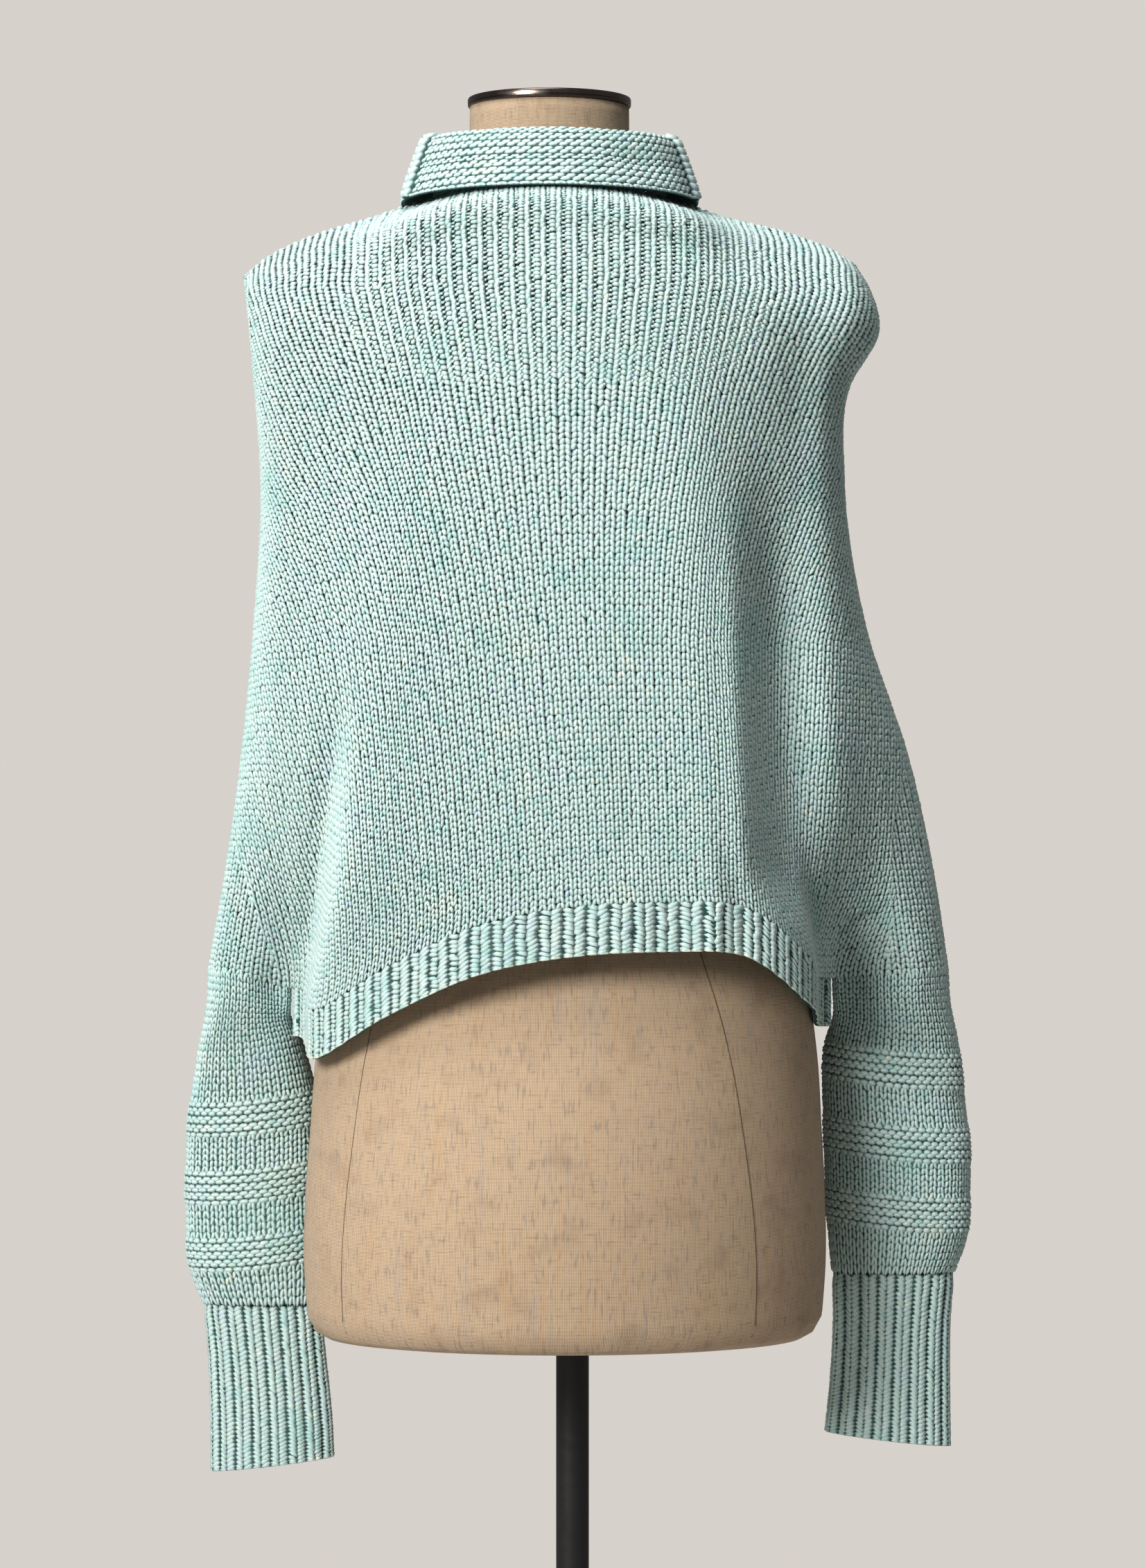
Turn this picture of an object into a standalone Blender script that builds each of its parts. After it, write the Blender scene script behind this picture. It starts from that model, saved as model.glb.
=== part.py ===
"""Batwing knitted sweater with a fold-over collar, worn on a limbless dress form with a neck cap, pole
and base. Metres, +Z up. The sweater's back faces -Y, its front +Y. The pole's axis is the Z axis and the
base stands on Z = 0."""

import math

import bmesh
import bpy
import numpy as np

MM = 0.001

# ---------------------------------------------------------------- named sizes
WALL = 2.4 * MM           # knitted wall
SEAM_GAP = 0.35 * MM      # between pieces that are sewn edge to edge
RIB_RAISE = 1.5 * MM      # rib columns above the valleys between them
BAND_RAISE = 1.3 * MM     # purl bands above the plain sleeve
HEM_RIB_DEPTH = 32 * MM
HEM_RIBS = 72
CUFF_RIBS = 16
NECK_X = -15.5 * MM       # the neck stands a little to the left of the pole's axis

POLE_RADIUS = 11 * MM
BASE_RADIUS = 175 * MM
BASE_THICK = 12 * MM
SOCKET_RADIUS = 24 * MM
SOCKET_TOP = 62 * MM
FORM_BOTTOM = 710.5 * MM
NECK_TOP = 1535.9 * MM
CAP_RADIUS = 54.8 * MM
CAP_THICK = 6.3 * MM

# Dress form: a row per level. Level height, centre x, half width, back y, front y, all in mm.
FORM_COLUMNS = ("height", "centre", "half_width", "back", "front")
FORM_ROWS = (
    (710.5, -5.3, 150.0, -106, 93),
    (711.8, -5.3, 160.0, -115, 101),
    (716.0, -5.3, 167.5, -122, 107),
    (726.0, -5.3, 173.0, -126, 110),
    (760.0, -5.3, 175.4, -129, 112),
    (800.0, -5.0, 175.0, -131, 113),
    (850.0, -4.5, 172.0, -129, 112),
    (900.0, -4.0, 168.5, -121, 108),
    (950.0, -4.0, 161.0, -107, 103),
    (1000.0, -4.5, 146.0, -92, 97),
    (1050.0, -6.0, 129.0, -83, 92),
    (1100.0, -8.0, 126.0, -84, 96),
    (1150.0, -9.5, 133.0, -92, 108),
    (1200.0, -11.0, 145.0, -100, 124),
    (1250.0, -12.0, 153.0, -106, 130),
    (1300.0, -13.0, 158.0, -108, 118),
    (1350.0, -14.5, 168.0, -104, 98),
    (1388.0, -14.5, 186.0, -89, 75),
    (1404.5, -14.5, 193.0, -78, 65),
    (1416.5, -14.5, 188.0, -70, 57),
    (1432.5, -14.5, 160.5, -62, 50),
    (1448.0, -14.5, 122.0, -57, 46),
    (1458.0, -15.0, 90.0, -53, 44),
    (1467.0, -15.5, 71.0, -52, 45),
    (1480.0, -15.5, 60.0, -52, 48),
    (1505.0, -15.5, 55.0, -53, 52),
    (1535.9, -15.5, 54.0, -53, 53),
)
FORM_SIDES = 36

# Sweater body: columns run across the back from the left outer edge to the right one. edge: outer fold,
# arm: middle of the sleeve part, notch and side: the two sides of the underarm valley, crest: the fold
# that hangs over the valley, mid, nape and centre: the back itself.
COLUMNS = ("edge", "arm", "notch", "side", "crest", "mid", "nape", "centre",
           "nape", "mid", "crest", "side", "notch", "arm", "edge")
LEVELS = (0.0, 0.03, 0.09, 0.17, 0.30, 0.50, 0.70, 0.86, 1.0)
BODY_X = (
    (-221.6, -208, -186, -165, -139, -94, -62, -15.5, 31, 63, 108, 134, 155, 178, 191.0),
    (-219.5, -206, -184, -163, -137, -98, -62, -15.5, 31, 67, 108, 135, 156, 183, 199.0),
    (-216.3, -203, -182, -161, -134, -99, -60, -15.5, 29, 70, 108, 135, 157, 187, 205.8),
    (-213.1, -199, -179, -159, -132, -98, -58, -15.0, 28, 69, 106, 131, 150, 172, 186.0),
    (-209.6, -195, -175, -156, -130, -96, -57, -14.0, 29, 69, 105, 129, 147, 168, 182.7),
    (-214.9, -199, -177, -157, -132, -97, -55, -10.0, 33, 74, 110, 136, 156, 180, 196.6),
    (-224.8, -207, -183, -161, -139, -101, -53, -4.0, 42, 86, 124, 151, 174, 206, 227.8),
    (-235.9, -215, -191, -172, -155, -109, -54, 1.0, 51, 99, 140, 162, 182, 220, 245.0),
    (-247.8, -226, -193.5, -185.0, -171.5, -120, -60, 4.0, 60, 108, 156.5, 170.5, 179.0, 231, 255.6),
)
EDGE_Y = (
    (0.0, 0.0), (0.5, 0.5), (4.0, 5.0), (9.0, 9.0), (12.0, 12.0), (18.0, 18.0), (26.0, 26.0),
    (35.0, 35.0), (42.0, 42.0),
)
BACK_Y = (
    (0, 0, 0, 0, -1, -45, -66, -45, -1, 0, 0, 0, 0),
    (-15, -22, -28, -42, -71, -87, -95, -87, -71, -42, -28, -22, -17),
    (-28, -45, -57, -71, -89, -100, -104, -100, -89, -71, -58, -47, -32),
    (-33, -50, -65, -82, -99, -109, -112, -109, -99, -82, -66, -50, -33),
    (-32, -49, -64, -83, -104, -115, -119, -115, -104, -83, -64, -49, -32),
    (-28, -50, -68, -91, -111, -121, -124, -121, -111, -91, -66, -46, -26),
    (-14, -42, -66, -93, -115, -125, -128, -125, -114, -92, -66, -44, -12),
    (2, -14, -36, -84, -116, -128, -131, -127, -115, -86, -48, -20, 2),
    (12, 27, 14, -52, -109, -130, -134, -129, -113, -66, 12, 26, 12),
)
FRONT_Y = (
    (0, 0, 0, 0, 1, 43, 62, 43, 1, 0, 0, 0, 0),
    (15, 22, 27, 36, 55, 75, 84, 75, 55, 36, 27, 22, 17),
    (28, 45, 54, 64, 77, 88, 92, 88, 77, 64, 54, 47, 32),
    (36, 51, 62, 75, 92, 104, 108, 104, 92, 75, 62, 51, 36),
    (44, 62, 76, 98, 122, 133, 137, 133, 122, 98, 76, 62, 44),
    (54, 76, 94, 120, 143, 151, 152, 151, 143, 120, 94, 76, 54),
    (66, 84, 100, 124, 146, 155, 156, 155, 146, 124, 100, 84, 66),
    (74, 72, 82, 118, 146, 157, 158, 157, 146, 118, 82, 72, 74),
    (74, 37, 43, 98, 142, 157, 160, 157, 142, 98, 43, 37, 74),
)
# Height of each column's top and bottom, back then front.
BACK_TOP = (1422, 1434, 1446, 1454, 1461.5, 1475, 1480, 1482, 1480, 1475, 1461.5, 1455.5, 1449, 1439, 1429.5)
BACK_END = (955.5, 953, 944, 944, 932.5, 963.5, 991, 1003, 1005.5, 1003.5, 969, 951, 951, 954, 956)
FRONT_TOP = (1422, 1434, 1446, 1454, 1461.5, 1475, 1468, 1461, 1468, 1475, 1461.5, 1455.5, 1449, 1439, 1429.5)
FRONT_END = (955.5, 953, 944, 944, 947, 962, 975, 980, 979, 972, 960, 951, 951, 954, 956)

# Soft folds in the hanging part: x at the upper end, height there, x at the lower end, height there,
# how far it stands out (+) or sinks in (-) and its half width, in mm; side -1 is the back, +1 the front.
FOLD_COLUMNS = ("side", "top_x", "top_z", "end_x", "end_z", "out", "half_width")
FOLDS = (
    (-1, 30, 1230, 71, 960, -5.0, 20),
    (-1, 62, 1200, 103, 960, 4.5, 17),
    (-1, 84, 1100, 118, 950, -6.0, 9),
    (-1, -40, 1180, -66, 950, 2.5, 26),
    (-1, -92, 1120, -108, 930, -3.0, 16),
    (1, -46, 1240, -80, 930, -5.0, 20),
    (1, -10, 1220, -28, 930, 4.0, 20),
    (1, 34, 1240, 52, 930, -5.0, 18),
    (1, 74, 1200, 98, 930, 4.0, 18),
)

# Lower sleeves: a row per level. Height, outer x, inner x, centre y, half depth (mm).
SLEEVE_COLUMNS = ("height", "outer", "inner", "centre", "half_depth")
SLEEVE_LEFT = (
    (954.0, -247.8, -190.5, 42.0, 26.0),
    (923.5, -251.8, -191.0, 48.0, 27.0),
    (898.0, -255.8, -184.0, 53.0, 28.0),
    (868.0, -260.5, -176.0, 58.0, 28.5),
    (842.5, -263.5, -172.5, 60.0, 28.5),
    (807.5, -264.5, -171.5, 61.0, 28.0),
    (777.0, -264.0, -170.5, 61.0, 27.5),
    (753.5, -262.0, -170.0, 60.0, 26.5),
    (736.5, -256.5, -170.5, 59.0, 24.0),
    (727.5, -252.5, -171.5, 58.0, 22.0),
)
SLEEVE_RIGHT = (
    (954.0, 255.6, 176.5, 42.0, 26.0),
    (923.5, 261.0, 177.5, 48.0, 27.5),
    (898.0, 264.0, 172.5, 52.0, 28.5),
    (868.0, 267.5, 170.5, 55.0, 28.5),
    (842.5, 270.5, 171.5, 56.0, 28.5),
    (817.5, 271.5, 172.0, 56.0, 28.0),
    (797.0, 271.0, 172.5, 56.0, 27.5),
    (772.0, 269.0, 174.0, 56.0, 26.5),
    (758.5, 264.5, 175.5, 55.5, 24.5),
    (749.3, 260.5, 177.0, 55.0, 22.5),
)
# Raised purl bands: height of the top and of the lower edge on the outer side, mm.
BANDS_LEFT = ((864.5, 842.0), (817.6, 795.9), (772.0, 750.4))
BANDS_RIGHT = ((898.5, 874.5), (847.5, 824.5), (800.0, 777.5))
BAND_LIFT = 9.0           # bands rise towards the inner side of the sleeve by this much, mm
SLEEVE_SIDES = 32

CUFF_COLUMNS = ("height", "outer", "inner", "centre", "half_depth")
CUFF_LEFT = (
    (727.0, -252.3, -171.5, 58.0, 21.5),
    (697.0, -249.5, -168.5, 57.0, 18.5),
    (656.0, -248.0, -164.0, 56.0, 17.0),
    (613.5, -247.5, -162.0, 55.0, 18.0),
)
CUFF_RIGHT = (
    (748.8, 260.5, 177.0, 55.0, 22.0),
    (718.0, 258.0, 177.5, 54.0, 18.5),
    (672.0, 257.5, 175.0, 53.0, 17.0),
    (631.0, 258.0, 171.5, 52.0, 18.0),
)
CUFF_SLANT = 10.0         # the mouth's inner side ends this much higher than its outer side, mm

# Collar: one wall that stands up from the neckline, turns over and comes down outside.
# half width, half depth, height (mm) along the wall's middle line.
COLLAR_COLUMNS = ("half_width", "half_depth", "height")
COLLAR_ROWS = (
    (76.2, 65.0, 1499.0),
    (76.4, 66.0, 1506.0),
    (78.4, 68.0, 1511.0),
    (81.6, 71.5, 1512.6),
    (84.8, 75.5, 1510.6),
    (87.6, 80.0, 1504.5),
    (91.5, 83.8, 1494.0),
    (95.4, 87.6, 1483.0),
    (99.0, 90.6, 1471.0),
)
COLLAR_WALL = 2.6 * MM
FRONT_DROP = 12 * MM      # the turned-down edge is this much lower at the front
BACK_LIFT = 2.6 * MM
COLLAR_SEAM_RIGHT = 9.0   # degrees from the right side towards the back
COLLAR_SEAM_LEFT = 165.0
CHAIN_RAISE = 2.2 * MM    # chained selvedge beside each collar seam
CHAIN_WIDTH = 5.5         # degrees


# ---------------------------------------------------------------- curves through named rows
def knots_tangent(values, knots):
    """Slopes at the knots of a smooth curve through values, with uneven spacing allowed."""
    values = np.asarray(values, float)
    knots = np.asarray(knots, float)
    steps = np.diff(knots)
    rise = np.diff(values, axis=0) / steps.reshape((-1,) + (1,) * (values.ndim - 1))
    slopes = np.empty_like(values)
    slopes[0] = rise[0]
    slopes[-1] = rise[-1]
    for i in range(1, len(knots) - 1):
        before, after = steps[i - 1], steps[i]
        slopes[i] = (rise[i - 1] * after + rise[i] * before) / (before + after)
    return slopes


def along(values, knots, at):
    """The value at one place on a smooth curve through rows of values."""
    values = np.asarray(values, float)
    slopes = knots_tangent(values, knots)
    i = int(np.clip(np.searchsorted(knots, at, side="right") - 1, 0, len(knots) - 2))
    step = knots[i + 1] - knots[i]
    f = (at - knots[i]) / step
    a = 2 * f**3 - 3 * f**2 + 1
    b = f**3 - 2 * f**2 + f
    c = -2 * f**3 + 3 * f**2
    d = f**3 - f**2
    return a * values[i] + b * step * slopes[i] + c * values[i + 1] + d * step * slopes[i + 1]


def body_controls():
    """Control points of the closed loop (back then front) at every level, in metres."""
    x = np.array(BODY_X)
    edge = np.array(EDGE_Y)
    back = np.array(BACK_Y, float)
    front = np.array(FRONT_Y, float)
    rows = []
    for i, level in enumerate(LEVELS):
        y_back = np.concatenate([[edge[i, 0]], back[i], [edge[i, 1]]])
        y_front = front[i]
        z_back = np.array(BACK_TOP) + (np.array(BACK_END) - np.array(BACK_TOP)) * level
        z_front = np.array(FRONT_TOP) + (np.array(FRONT_END) - np.array(FRONT_TOP)) * level
        loop_back = np.stack([x[i], y_back, z_back], 1)
        loop_front = np.stack([x[i][1:-1], y_front, z_front[1:-1]], 1)[::-1]
        rows.append(np.concatenate([loop_back, loop_front]))
    return np.array(rows) * MM


BODY = body_controls()
LOOP = BODY.shape[1]


def body_loop(level):
    """Control points and unit tangents of the loop at one level."""
    points = along(BODY, LEVELS, level)
    ahead = np.roll(points, -1, 0) - points
    length = np.linalg.norm(ahead, axis=1) + 1e-9
    unit = ahead / length[:, None]
    before, after = np.roll(length, 1)[:, None], length[:, None]
    tangent = (np.roll(unit, 1, 0) * after + unit * before) / (before + after)
    return points, tangent, length


def fold_push(x, z, side):
    """How far the folds move the wall outwards at x, z (metres)."""
    push = 0.0
    for row in FOLDS:
        fold = dict(zip(FOLD_COLUMNS, row))
        if fold["side"] != side:
            continue
        f = (fold["top_z"] * MM - z) / ((fold["top_z"] - fold["end_z"]) * MM)
        if f <= 0:
            continue
        middle = fold["top_x"] + (fold["end_x"] - fold["top_x"]) * min(f, 1.3)
        grow = min(f, 1.0) ** 2 * (3 - 2 * min(f, 1.0))
        across = (x - middle * MM) / (fold["half_width"] * MM)
        push += grow * fold["out"] * MM * math.exp(-across * across)
    return push


def body_point(level, place):
    """A point of the outer face. place runs round the loop: 0 to 14 is the back, 14 to 28 the front."""
    points, tangent, length = body_loop(level)
    i = int(math.floor(place)) % LOOP
    f = place - math.floor(place)
    j = (i + 1) % LOOP
    a = 2 * f**3 - 3 * f**2 + 1
    b = f**3 - 2 * f**2 + f
    c = -2 * f**3 + 3 * f**2
    d = f**3 - f**2
    point = a * points[i] + b * length[i] * tangent[i] + c * points[j] + d * length[i] * tangent[j]
    side = -1 if place <= 14 else 1
    ends = min(place % 14, 14 - place % 14)
    ease = min(max((ends - 3.0) / 1.5, 0.0), 1.0)
    point[1] += side * ease * fold_push(point[0], point[2], side)
    return point


# ---------------------------------------------------------------- walls and meshes
def grid_normals(grid, closed):
    """Outward normals of a grid of points, rows down and columns round anticlockwise from above."""
    down = np.gradient(grid, axis=0)
    if closed:
        across = (np.roll(grid, -1, 1) - np.roll(grid, 1, 1)) / 2
    else:
        across = np.gradient(grid, axis=1)
    normal = np.cross(down, across)
    return normal / (np.linalg.norm(normal, axis=2)[:, :, None] + 1e-12)


def mesh_object(name, points, faces, collection, material):
    mesh = bpy.data.meshes.new(name)
    mesh.from_pydata([tuple(p) for p in points], [], faces)
    mesh.validate()
    work = bmesh.new()
    work.from_mesh(mesh)
    bmesh.ops.triangulate(work, faces=work.faces[:])
    bmesh.ops.recalc_face_normals(work, faces=work.faces[:])
    if work.calc_volume(signed=True) < 0:
        bmesh.ops.reverse_faces(work, faces=work.faces[:])
    work.to_mesh(mesh)
    work.free()
    thing = bpy.data.objects.new(name, mesh)
    mesh.materials.append(material)
    collection.objects.link(thing)
    return thing


def wall_faces(rows, columns, closed, first):
    """Quads of one skin of a wall."""
    faces = []
    for r in range(rows - 1):
        for c in range(columns if closed else columns - 1):
            d = (c + 1) % columns
            faces.append((first + r * columns + c, first + r * columns + d,
                          first + (r + 1) * columns + d, first + (r + 1) * columns + c))
    return faces


def body_normal(level, place):
    """Outward unit normal of the body's outer face."""
    step = 0.02
    across = body_point(level, (place + step) % LOOP) - body_point(level, (place - step) % LOOP)
    upper = max(level - 0.004, 0.0)
    lower = min(level + 0.004, 1.0)
    down = body_point(lower, place) - body_point(upper, place)
    normal = np.cross(down, across)
    return normal / (np.linalg.norm(normal) + 1e-12)


def open_wall(name, outer, inner, collection, material):
    """A closed solid from an outer and an inner grid of the same size, open panels."""
    rows, columns = outer.shape[:2]
    points = np.concatenate([outer.reshape(-1, 3), inner.reshape(-1, 3)])
    far = rows * columns
    faces = wall_faces(rows, columns, False, 0)
    faces += [tuple(reversed(f)) for f in wall_faces(rows, columns, False, far)]
    rim = [r * columns for r in range(rows)]
    rim += [(rows - 1) * columns + c for c in range(1, columns)]
    rim += [r * columns + columns - 1 for r in range(rows - 2, -1, -1)]
    rim += [c for c in range(columns - 2, 0, -1)]
    for k, a in enumerate(rim):
        b = rim[(k + 1) % len(rim)]
        faces.append((a, b, far + b, far + a))
    return mesh_object(name, points, faces, collection, material)


def tube_wall(name, outer, inner, collection, material):
    """A closed solid from an outer and an inner tube: same columns, rows may differ."""
    rows, columns = outer.shape[:2]
    inside = inner.shape[0]
    points = np.concatenate([outer.reshape(-1, 3), inner.reshape(-1, 3)])
    far = rows * columns
    faces = wall_faces(rows, columns, True, 0)
    faces += [tuple(reversed(f)) for f in wall_faces(inside, columns, True, far)]
    for c in range(columns):
        d = (c + 1) % columns
        faces.append((d, c, far + c, far + d))
        a = (rows - 1) * columns
        b = far + (inside - 1) * columns
        faces.append((a + c, a + d, b + d, b + c))
    return mesh_object(name, points, faces, collection, material)


def ring_solid(name, sections, collection, material):
    """A closed solid lofted through rings, with flat ends."""
    rings = np.array(sections)
    rows, columns = rings.shape[:2]
    faces = wall_faces(rows, columns, True, 0)
    faces.append(tuple(range(columns - 1, -1, -1)))
    faces.append(tuple((rows - 1) * columns + c for c in range(columns)))
    return mesh_object(name, rings.reshape(-1, 3), faces, collection, material)


def make_material(name, colour, roughness, metallic=0.0):
    material = bpy.data.materials.new(name)
    material.use_nodes = True
    shader = material.node_tree.nodes["Principled BSDF"]
    shader.inputs["Base Color"].default_value = (*colour, 1.0)
    shader.inputs["Roughness"].default_value = roughness
    shader.inputs["Metallic"].default_value = metallic
    material.diffuse_color = (*colour, 1.0)
    return material


# ---------------------------------------------------------------- dress form and stand
def form_ring(row):
    level = dict(zip(FORM_COLUMNS, row))
    ring = []
    for k in range(FORM_SIDES):
        turn = 2 * math.pi * k / FORM_SIDES
        depth = level["front"] if math.sin(turn) >= 0 else -level["back"]
        ring.append((
            (level["centre"] + level["half_width"] * math.cos(turn)) * MM,
            depth * math.sin(turn) * MM,
            level["height"] * MM,
        ))
    return ring


def build_form(collection, linen, metal, black):
    ring_solid("dress_form", [form_ring(row) for row in reversed(FORM_ROWS)], collection, linen)

    sides = 40
    cap = []
    for radius, height in ((CAP_RADIUS - 4.5 * MM, CAP_THICK), (CAP_RADIUS - 1.2 * MM, CAP_THICK - 0.7 * MM),
                           (CAP_RADIUS, CAP_THICK - 2.2 * MM), (CAP_RADIUS, 1.6 * MM),
                           (CAP_RADIUS - 1.0 * MM, 0.3 * MM)):
        cap.append([(NECK_X + radius * math.cos(2 * math.pi * k / sides),
                     radius * math.sin(2 * math.pi * k / sides) * 0.985,
                     NECK_TOP + height) for k in range(sides)])
    ring_solid("neck_cap", cap, collection, metal)

    bpy.ops.mesh.primitive_cylinder_add(vertices=24, radius=POLE_RADIUS,
                                        depth=FORM_BOTTOM - SOCKET_TOP - 0.6 * MM)
    pole = bpy.context.object
    pole.location.z = (FORM_BOTTOM + SOCKET_TOP) / 2
    settle(pole, "pole", collection, black)

    for name, radius, low, high in (("pole_socket", SOCKET_RADIUS, BASE_THICK + 0.3 * MM, SOCKET_TOP),
                                    ("base_plate", BASE_RADIUS, 0.0, BASE_THICK)):
        sides = 28 if name == "pole_socket" else 56
        bevel = 2.5 * MM
        rings = []
        for r, z in ((radius - bevel, high), (radius, high - bevel), (radius, low)):
            rings.append([(r * math.cos(2 * math.pi * k / sides), r * math.sin(2 * math.pi * k / sides), z)
                          for k in range(sides)])
        ring_solid(name, rings, collection, black)


def settle(thing, name, collection, material):
    """Applies a primitive's place to its mesh and puts it in the collection."""
    mesh = thing.data
    mesh.transform(thing.matrix_basis)
    thing.matrix_basis.identity()
    work = bmesh.new()
    work.from_mesh(mesh)
    bmesh.ops.triangulate(work, faces=work.faces[:])
    work.to_mesh(mesh)
    work.free()
    thing.name = name
    mesh.name = name
    mesh.materials.clear()
    mesh.materials.append(material)
    for other in list(thing.users_collection):
        other.objects.unlink(thing)
    collection.objects.link(thing)


# ---------------------------------------------------------------- sweater
ROW_LEVELS = (0.0, 0.012, 0.03, 0.06, 0.09, 0.13, 0.17, 0.23, 0.30, 0.40, 0.50, 0.60, 0.70, 0.78, 0.86, 0.93, 1.0)


def half_places(first):
    """Places across one half of the loop, closer together round the outer folds and the valleys."""
    steps = [0.012, 0.2, 0.5, 1.0, 1.5, 2.0, 2.5, 3.0, 3.33, 3.67, 4.0, 4.5, 5.0, 5.5, 6.0, 6.5, 7.0]
    steps += [14 - s for s in reversed(steps[:-1])]
    return [first + s for s in steps]


def edge_place(level):
    """The place on the loop where a panel's outer edge stops, half a seam from the fold."""
    points, tangent, length = body_loop(level)
    return (SEAM_GAP / length[0], SEAM_GAP / length[LOOP // 2 - 1])


def build_panel(name, first, collection, material):
    """One half of the body: outer face, and the inner face a wall's thickness inside it."""
    places = half_places(0)
    side = -1 if first == 0 else 1
    shoulder = [c for c, s in enumerate(places) if s <= 5.0 or s >= 9.0]
    grid = []
    normal = []
    middle = []
    for level in ROW_LEVELS:
        left, right = edge_place(level)
        row = [left] + places[1:-1] + [14 - right]
        mirror = [28.0 - s for s in row]
        if side > 0:
            row, mirror = [28.0 - s for s in reversed(row)], list(reversed(row))
        points = [body_point(level, s) for s in row]
        facing = [body_normal(level, s) for s in row]
        facing[0] = body_normal(level, 0.0 if side < 0 else 14.0)
        facing[-1] = body_normal(level, 14.0 if side < 0 else 0.0)
        grid.append(points)
        normal.append(facing)
        middle.append([(p[1] + body_point(level, s)[1]) / 2 for p, s in zip(points, mirror)])
    grid = np.array(grid)
    normal = np.array(normal)
    middle = np.array(middle)
    normal[0, shoulder, 1] = 0.0
    normal[-1, :, 2] = 0.0
    normal[:, (0, -1), 1] = 0.0
    normal /= np.linalg.norm(normal, axis=2)[:, :, None]
    wall = np.full(grid.shape[:2], WALL)
    wall[:2, (0, 1, -2, -1)] *= 0.45
    inner = grid - normal * wall[:, :, None]
    clear = side * (middle + side * SEAM_GAP / 2)
    inner[:, :, 1] = side * np.maximum(side * inner[:, :, 1], clear)
    for c in shoulder:
        grid[0, c, 1] = side * SEAM_GAP / 2
        inner[0, c, 1] = side * SEAM_GAP / 2
    open_wall(name, grid, inner, collection, material)


def ellipse_ring(row, count, columns):
    level = dict(zip(columns, row))
    middle = (level["outer"] + level["inner"]) / 2
    half = (level["outer"] - level["inner"]) / 2
    ring = []
    for k in range(count):
        turn = 2 * math.pi * k / count
        ring.append((
            (middle + half * math.cos(turn)) * MM,
            (level["centre"] - level["half_depth"] * math.sin(turn)) * MM,
            level["height"] * MM,
        ))
    return np.array(ring)


def even_ring(points, count, corners=()):
    """Resamples a closed line of points at even spacing, keeping the corners that are named."""
    points = np.array(points)
    loop = np.concatenate([points, points[:1]])
    length = np.concatenate([[0.0], np.cumsum(np.linalg.norm(np.diff(loop, axis=0), axis=1))])
    at = np.arange(count) * length[-1] / count
    for corner in corners:
        at[np.argmin(np.abs(at - length[corner]))] = length[corner]
    return np.stack([np.interp(at, length, loop[:, k]) for k in range(3)], 1)


def underarm_ring(left):
    """The lower edge of the body's sleeve part as a closed ring: outer edge, back, underarm, front."""
    fine = [0.0] + [s for s in half_places(0) if s <= 2.0]
    if left:
        back = [body_point(1.0, s) for s in fine]
        front = [body_point(1.0, 28.0 - s) for s in fine[1:]]
        turn = 3.0 * MM
    else:
        back = [body_point(1.0, 14.0 - s) for s in fine]
        front = [body_point(1.0, 14.0 + s) for s in fine[1:]]
        turn = -3.0 * MM
    a, b = back[-1], front[-1]
    middle = (a + b) / 2
    half = abs(b[1] - a[1]) / 2
    cap = []
    for k in (1, 2, 3, 4, 5):
        angle = math.pi * k / 6
        cap.append(np.array([middle[0] + turn * math.sin(angle), middle[1] - half * math.cos(angle), middle[2]]))
    ring = back + cap + front[::-1]
    corners = list(range(3, len(back))) + list(range(len(back) + len(cap), len(ring) - 2))
    return ring, corners


def sleeve_rings(table, bands, left):
    """Outer rings of a lower sleeve, plain rings and the amount each is raised."""
    rows = [dict(zip(SLEEVE_COLUMNS, row)) for row in table]
    heights = [row["height"] for row in rows][::-1]
    values = np.array([[row[k] for k in SLEEVE_COLUMNS] for row in rows])[::-1]
    ring, corners = underarm_ring(left)
    top = even_ring(ring, SLEEVE_SIDES, corners)
    marks = [(rows[0]["height"] - 0.0, 0), (940.0, 0), (925.0, 0), (905.0 if not left else 900.0, 0)]
    for high, low in bands:
        marks += [(high + 0.8, 0), (high - 0.8, 1), (low + 0.8, 1), (low - 0.8, 0)]
    marks += [(rows[-1]["height"] + 12, 0), (rows[-1]["height"], 0)]
    marks = sorted(set(marks), reverse=True)
    out = []
    for height, raised in marks:
        row = along(values, heights, height)
        ring = ellipse_ring(row, 96, SLEEVE_COLUMNS)
        ring = even_ring(ring, SLEEVE_SIDES)
        blend = min(max((rows[0]["height"] - height) / 55.0, 0.0), 1.0)
        blend = blend * blend * (3 - 2 * blend)
        drop = (top[:, 2] - rows[0]["height"] * MM) * (1 - blend)
        mixed = top * (1 - blend) + ring * blend
        mixed[:, 2] = height * MM + drop
        inward = (mixed[:, 0] - mixed[0, 0]) / (mixed[SLEEVE_SIDES // 2, 0] - mixed[0, 0])
        calm = min(max((height - rows[-1]["height"]) / 20.0, 0.0), 1.0)
        mixed[:, 2] += BAND_LIFT * MM * blend * calm * inward**2
        out.append((mixed, raised))
    return out


def outward(ring):
    """Unit normals of a closed ring, level, pointing away from its middle."""
    ahead = np.roll(ring, -1, 0) - np.roll(ring, 1, 0)
    normal = np.stack([ahead[:, 1], -ahead[:, 0], np.zeros(len(ring))], 1)
    normal /= np.linalg.norm(normal, axis=1)[:, None]
    middle = ring.mean(0)
    if ((ring - middle) * normal).sum() < 0:
        normal = -normal
    return normal


def oriented(grid):
    """Rings in anticlockwise order seen from above, so that normals point outwards."""
    ring = grid[0]
    area = (ring[:, 0] * np.roll(ring[:, 1], -1) - np.roll(ring[:, 0], -1) * ring[:, 1]).sum()
    return grid if area > 0 else grid[:, ::-1]


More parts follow.
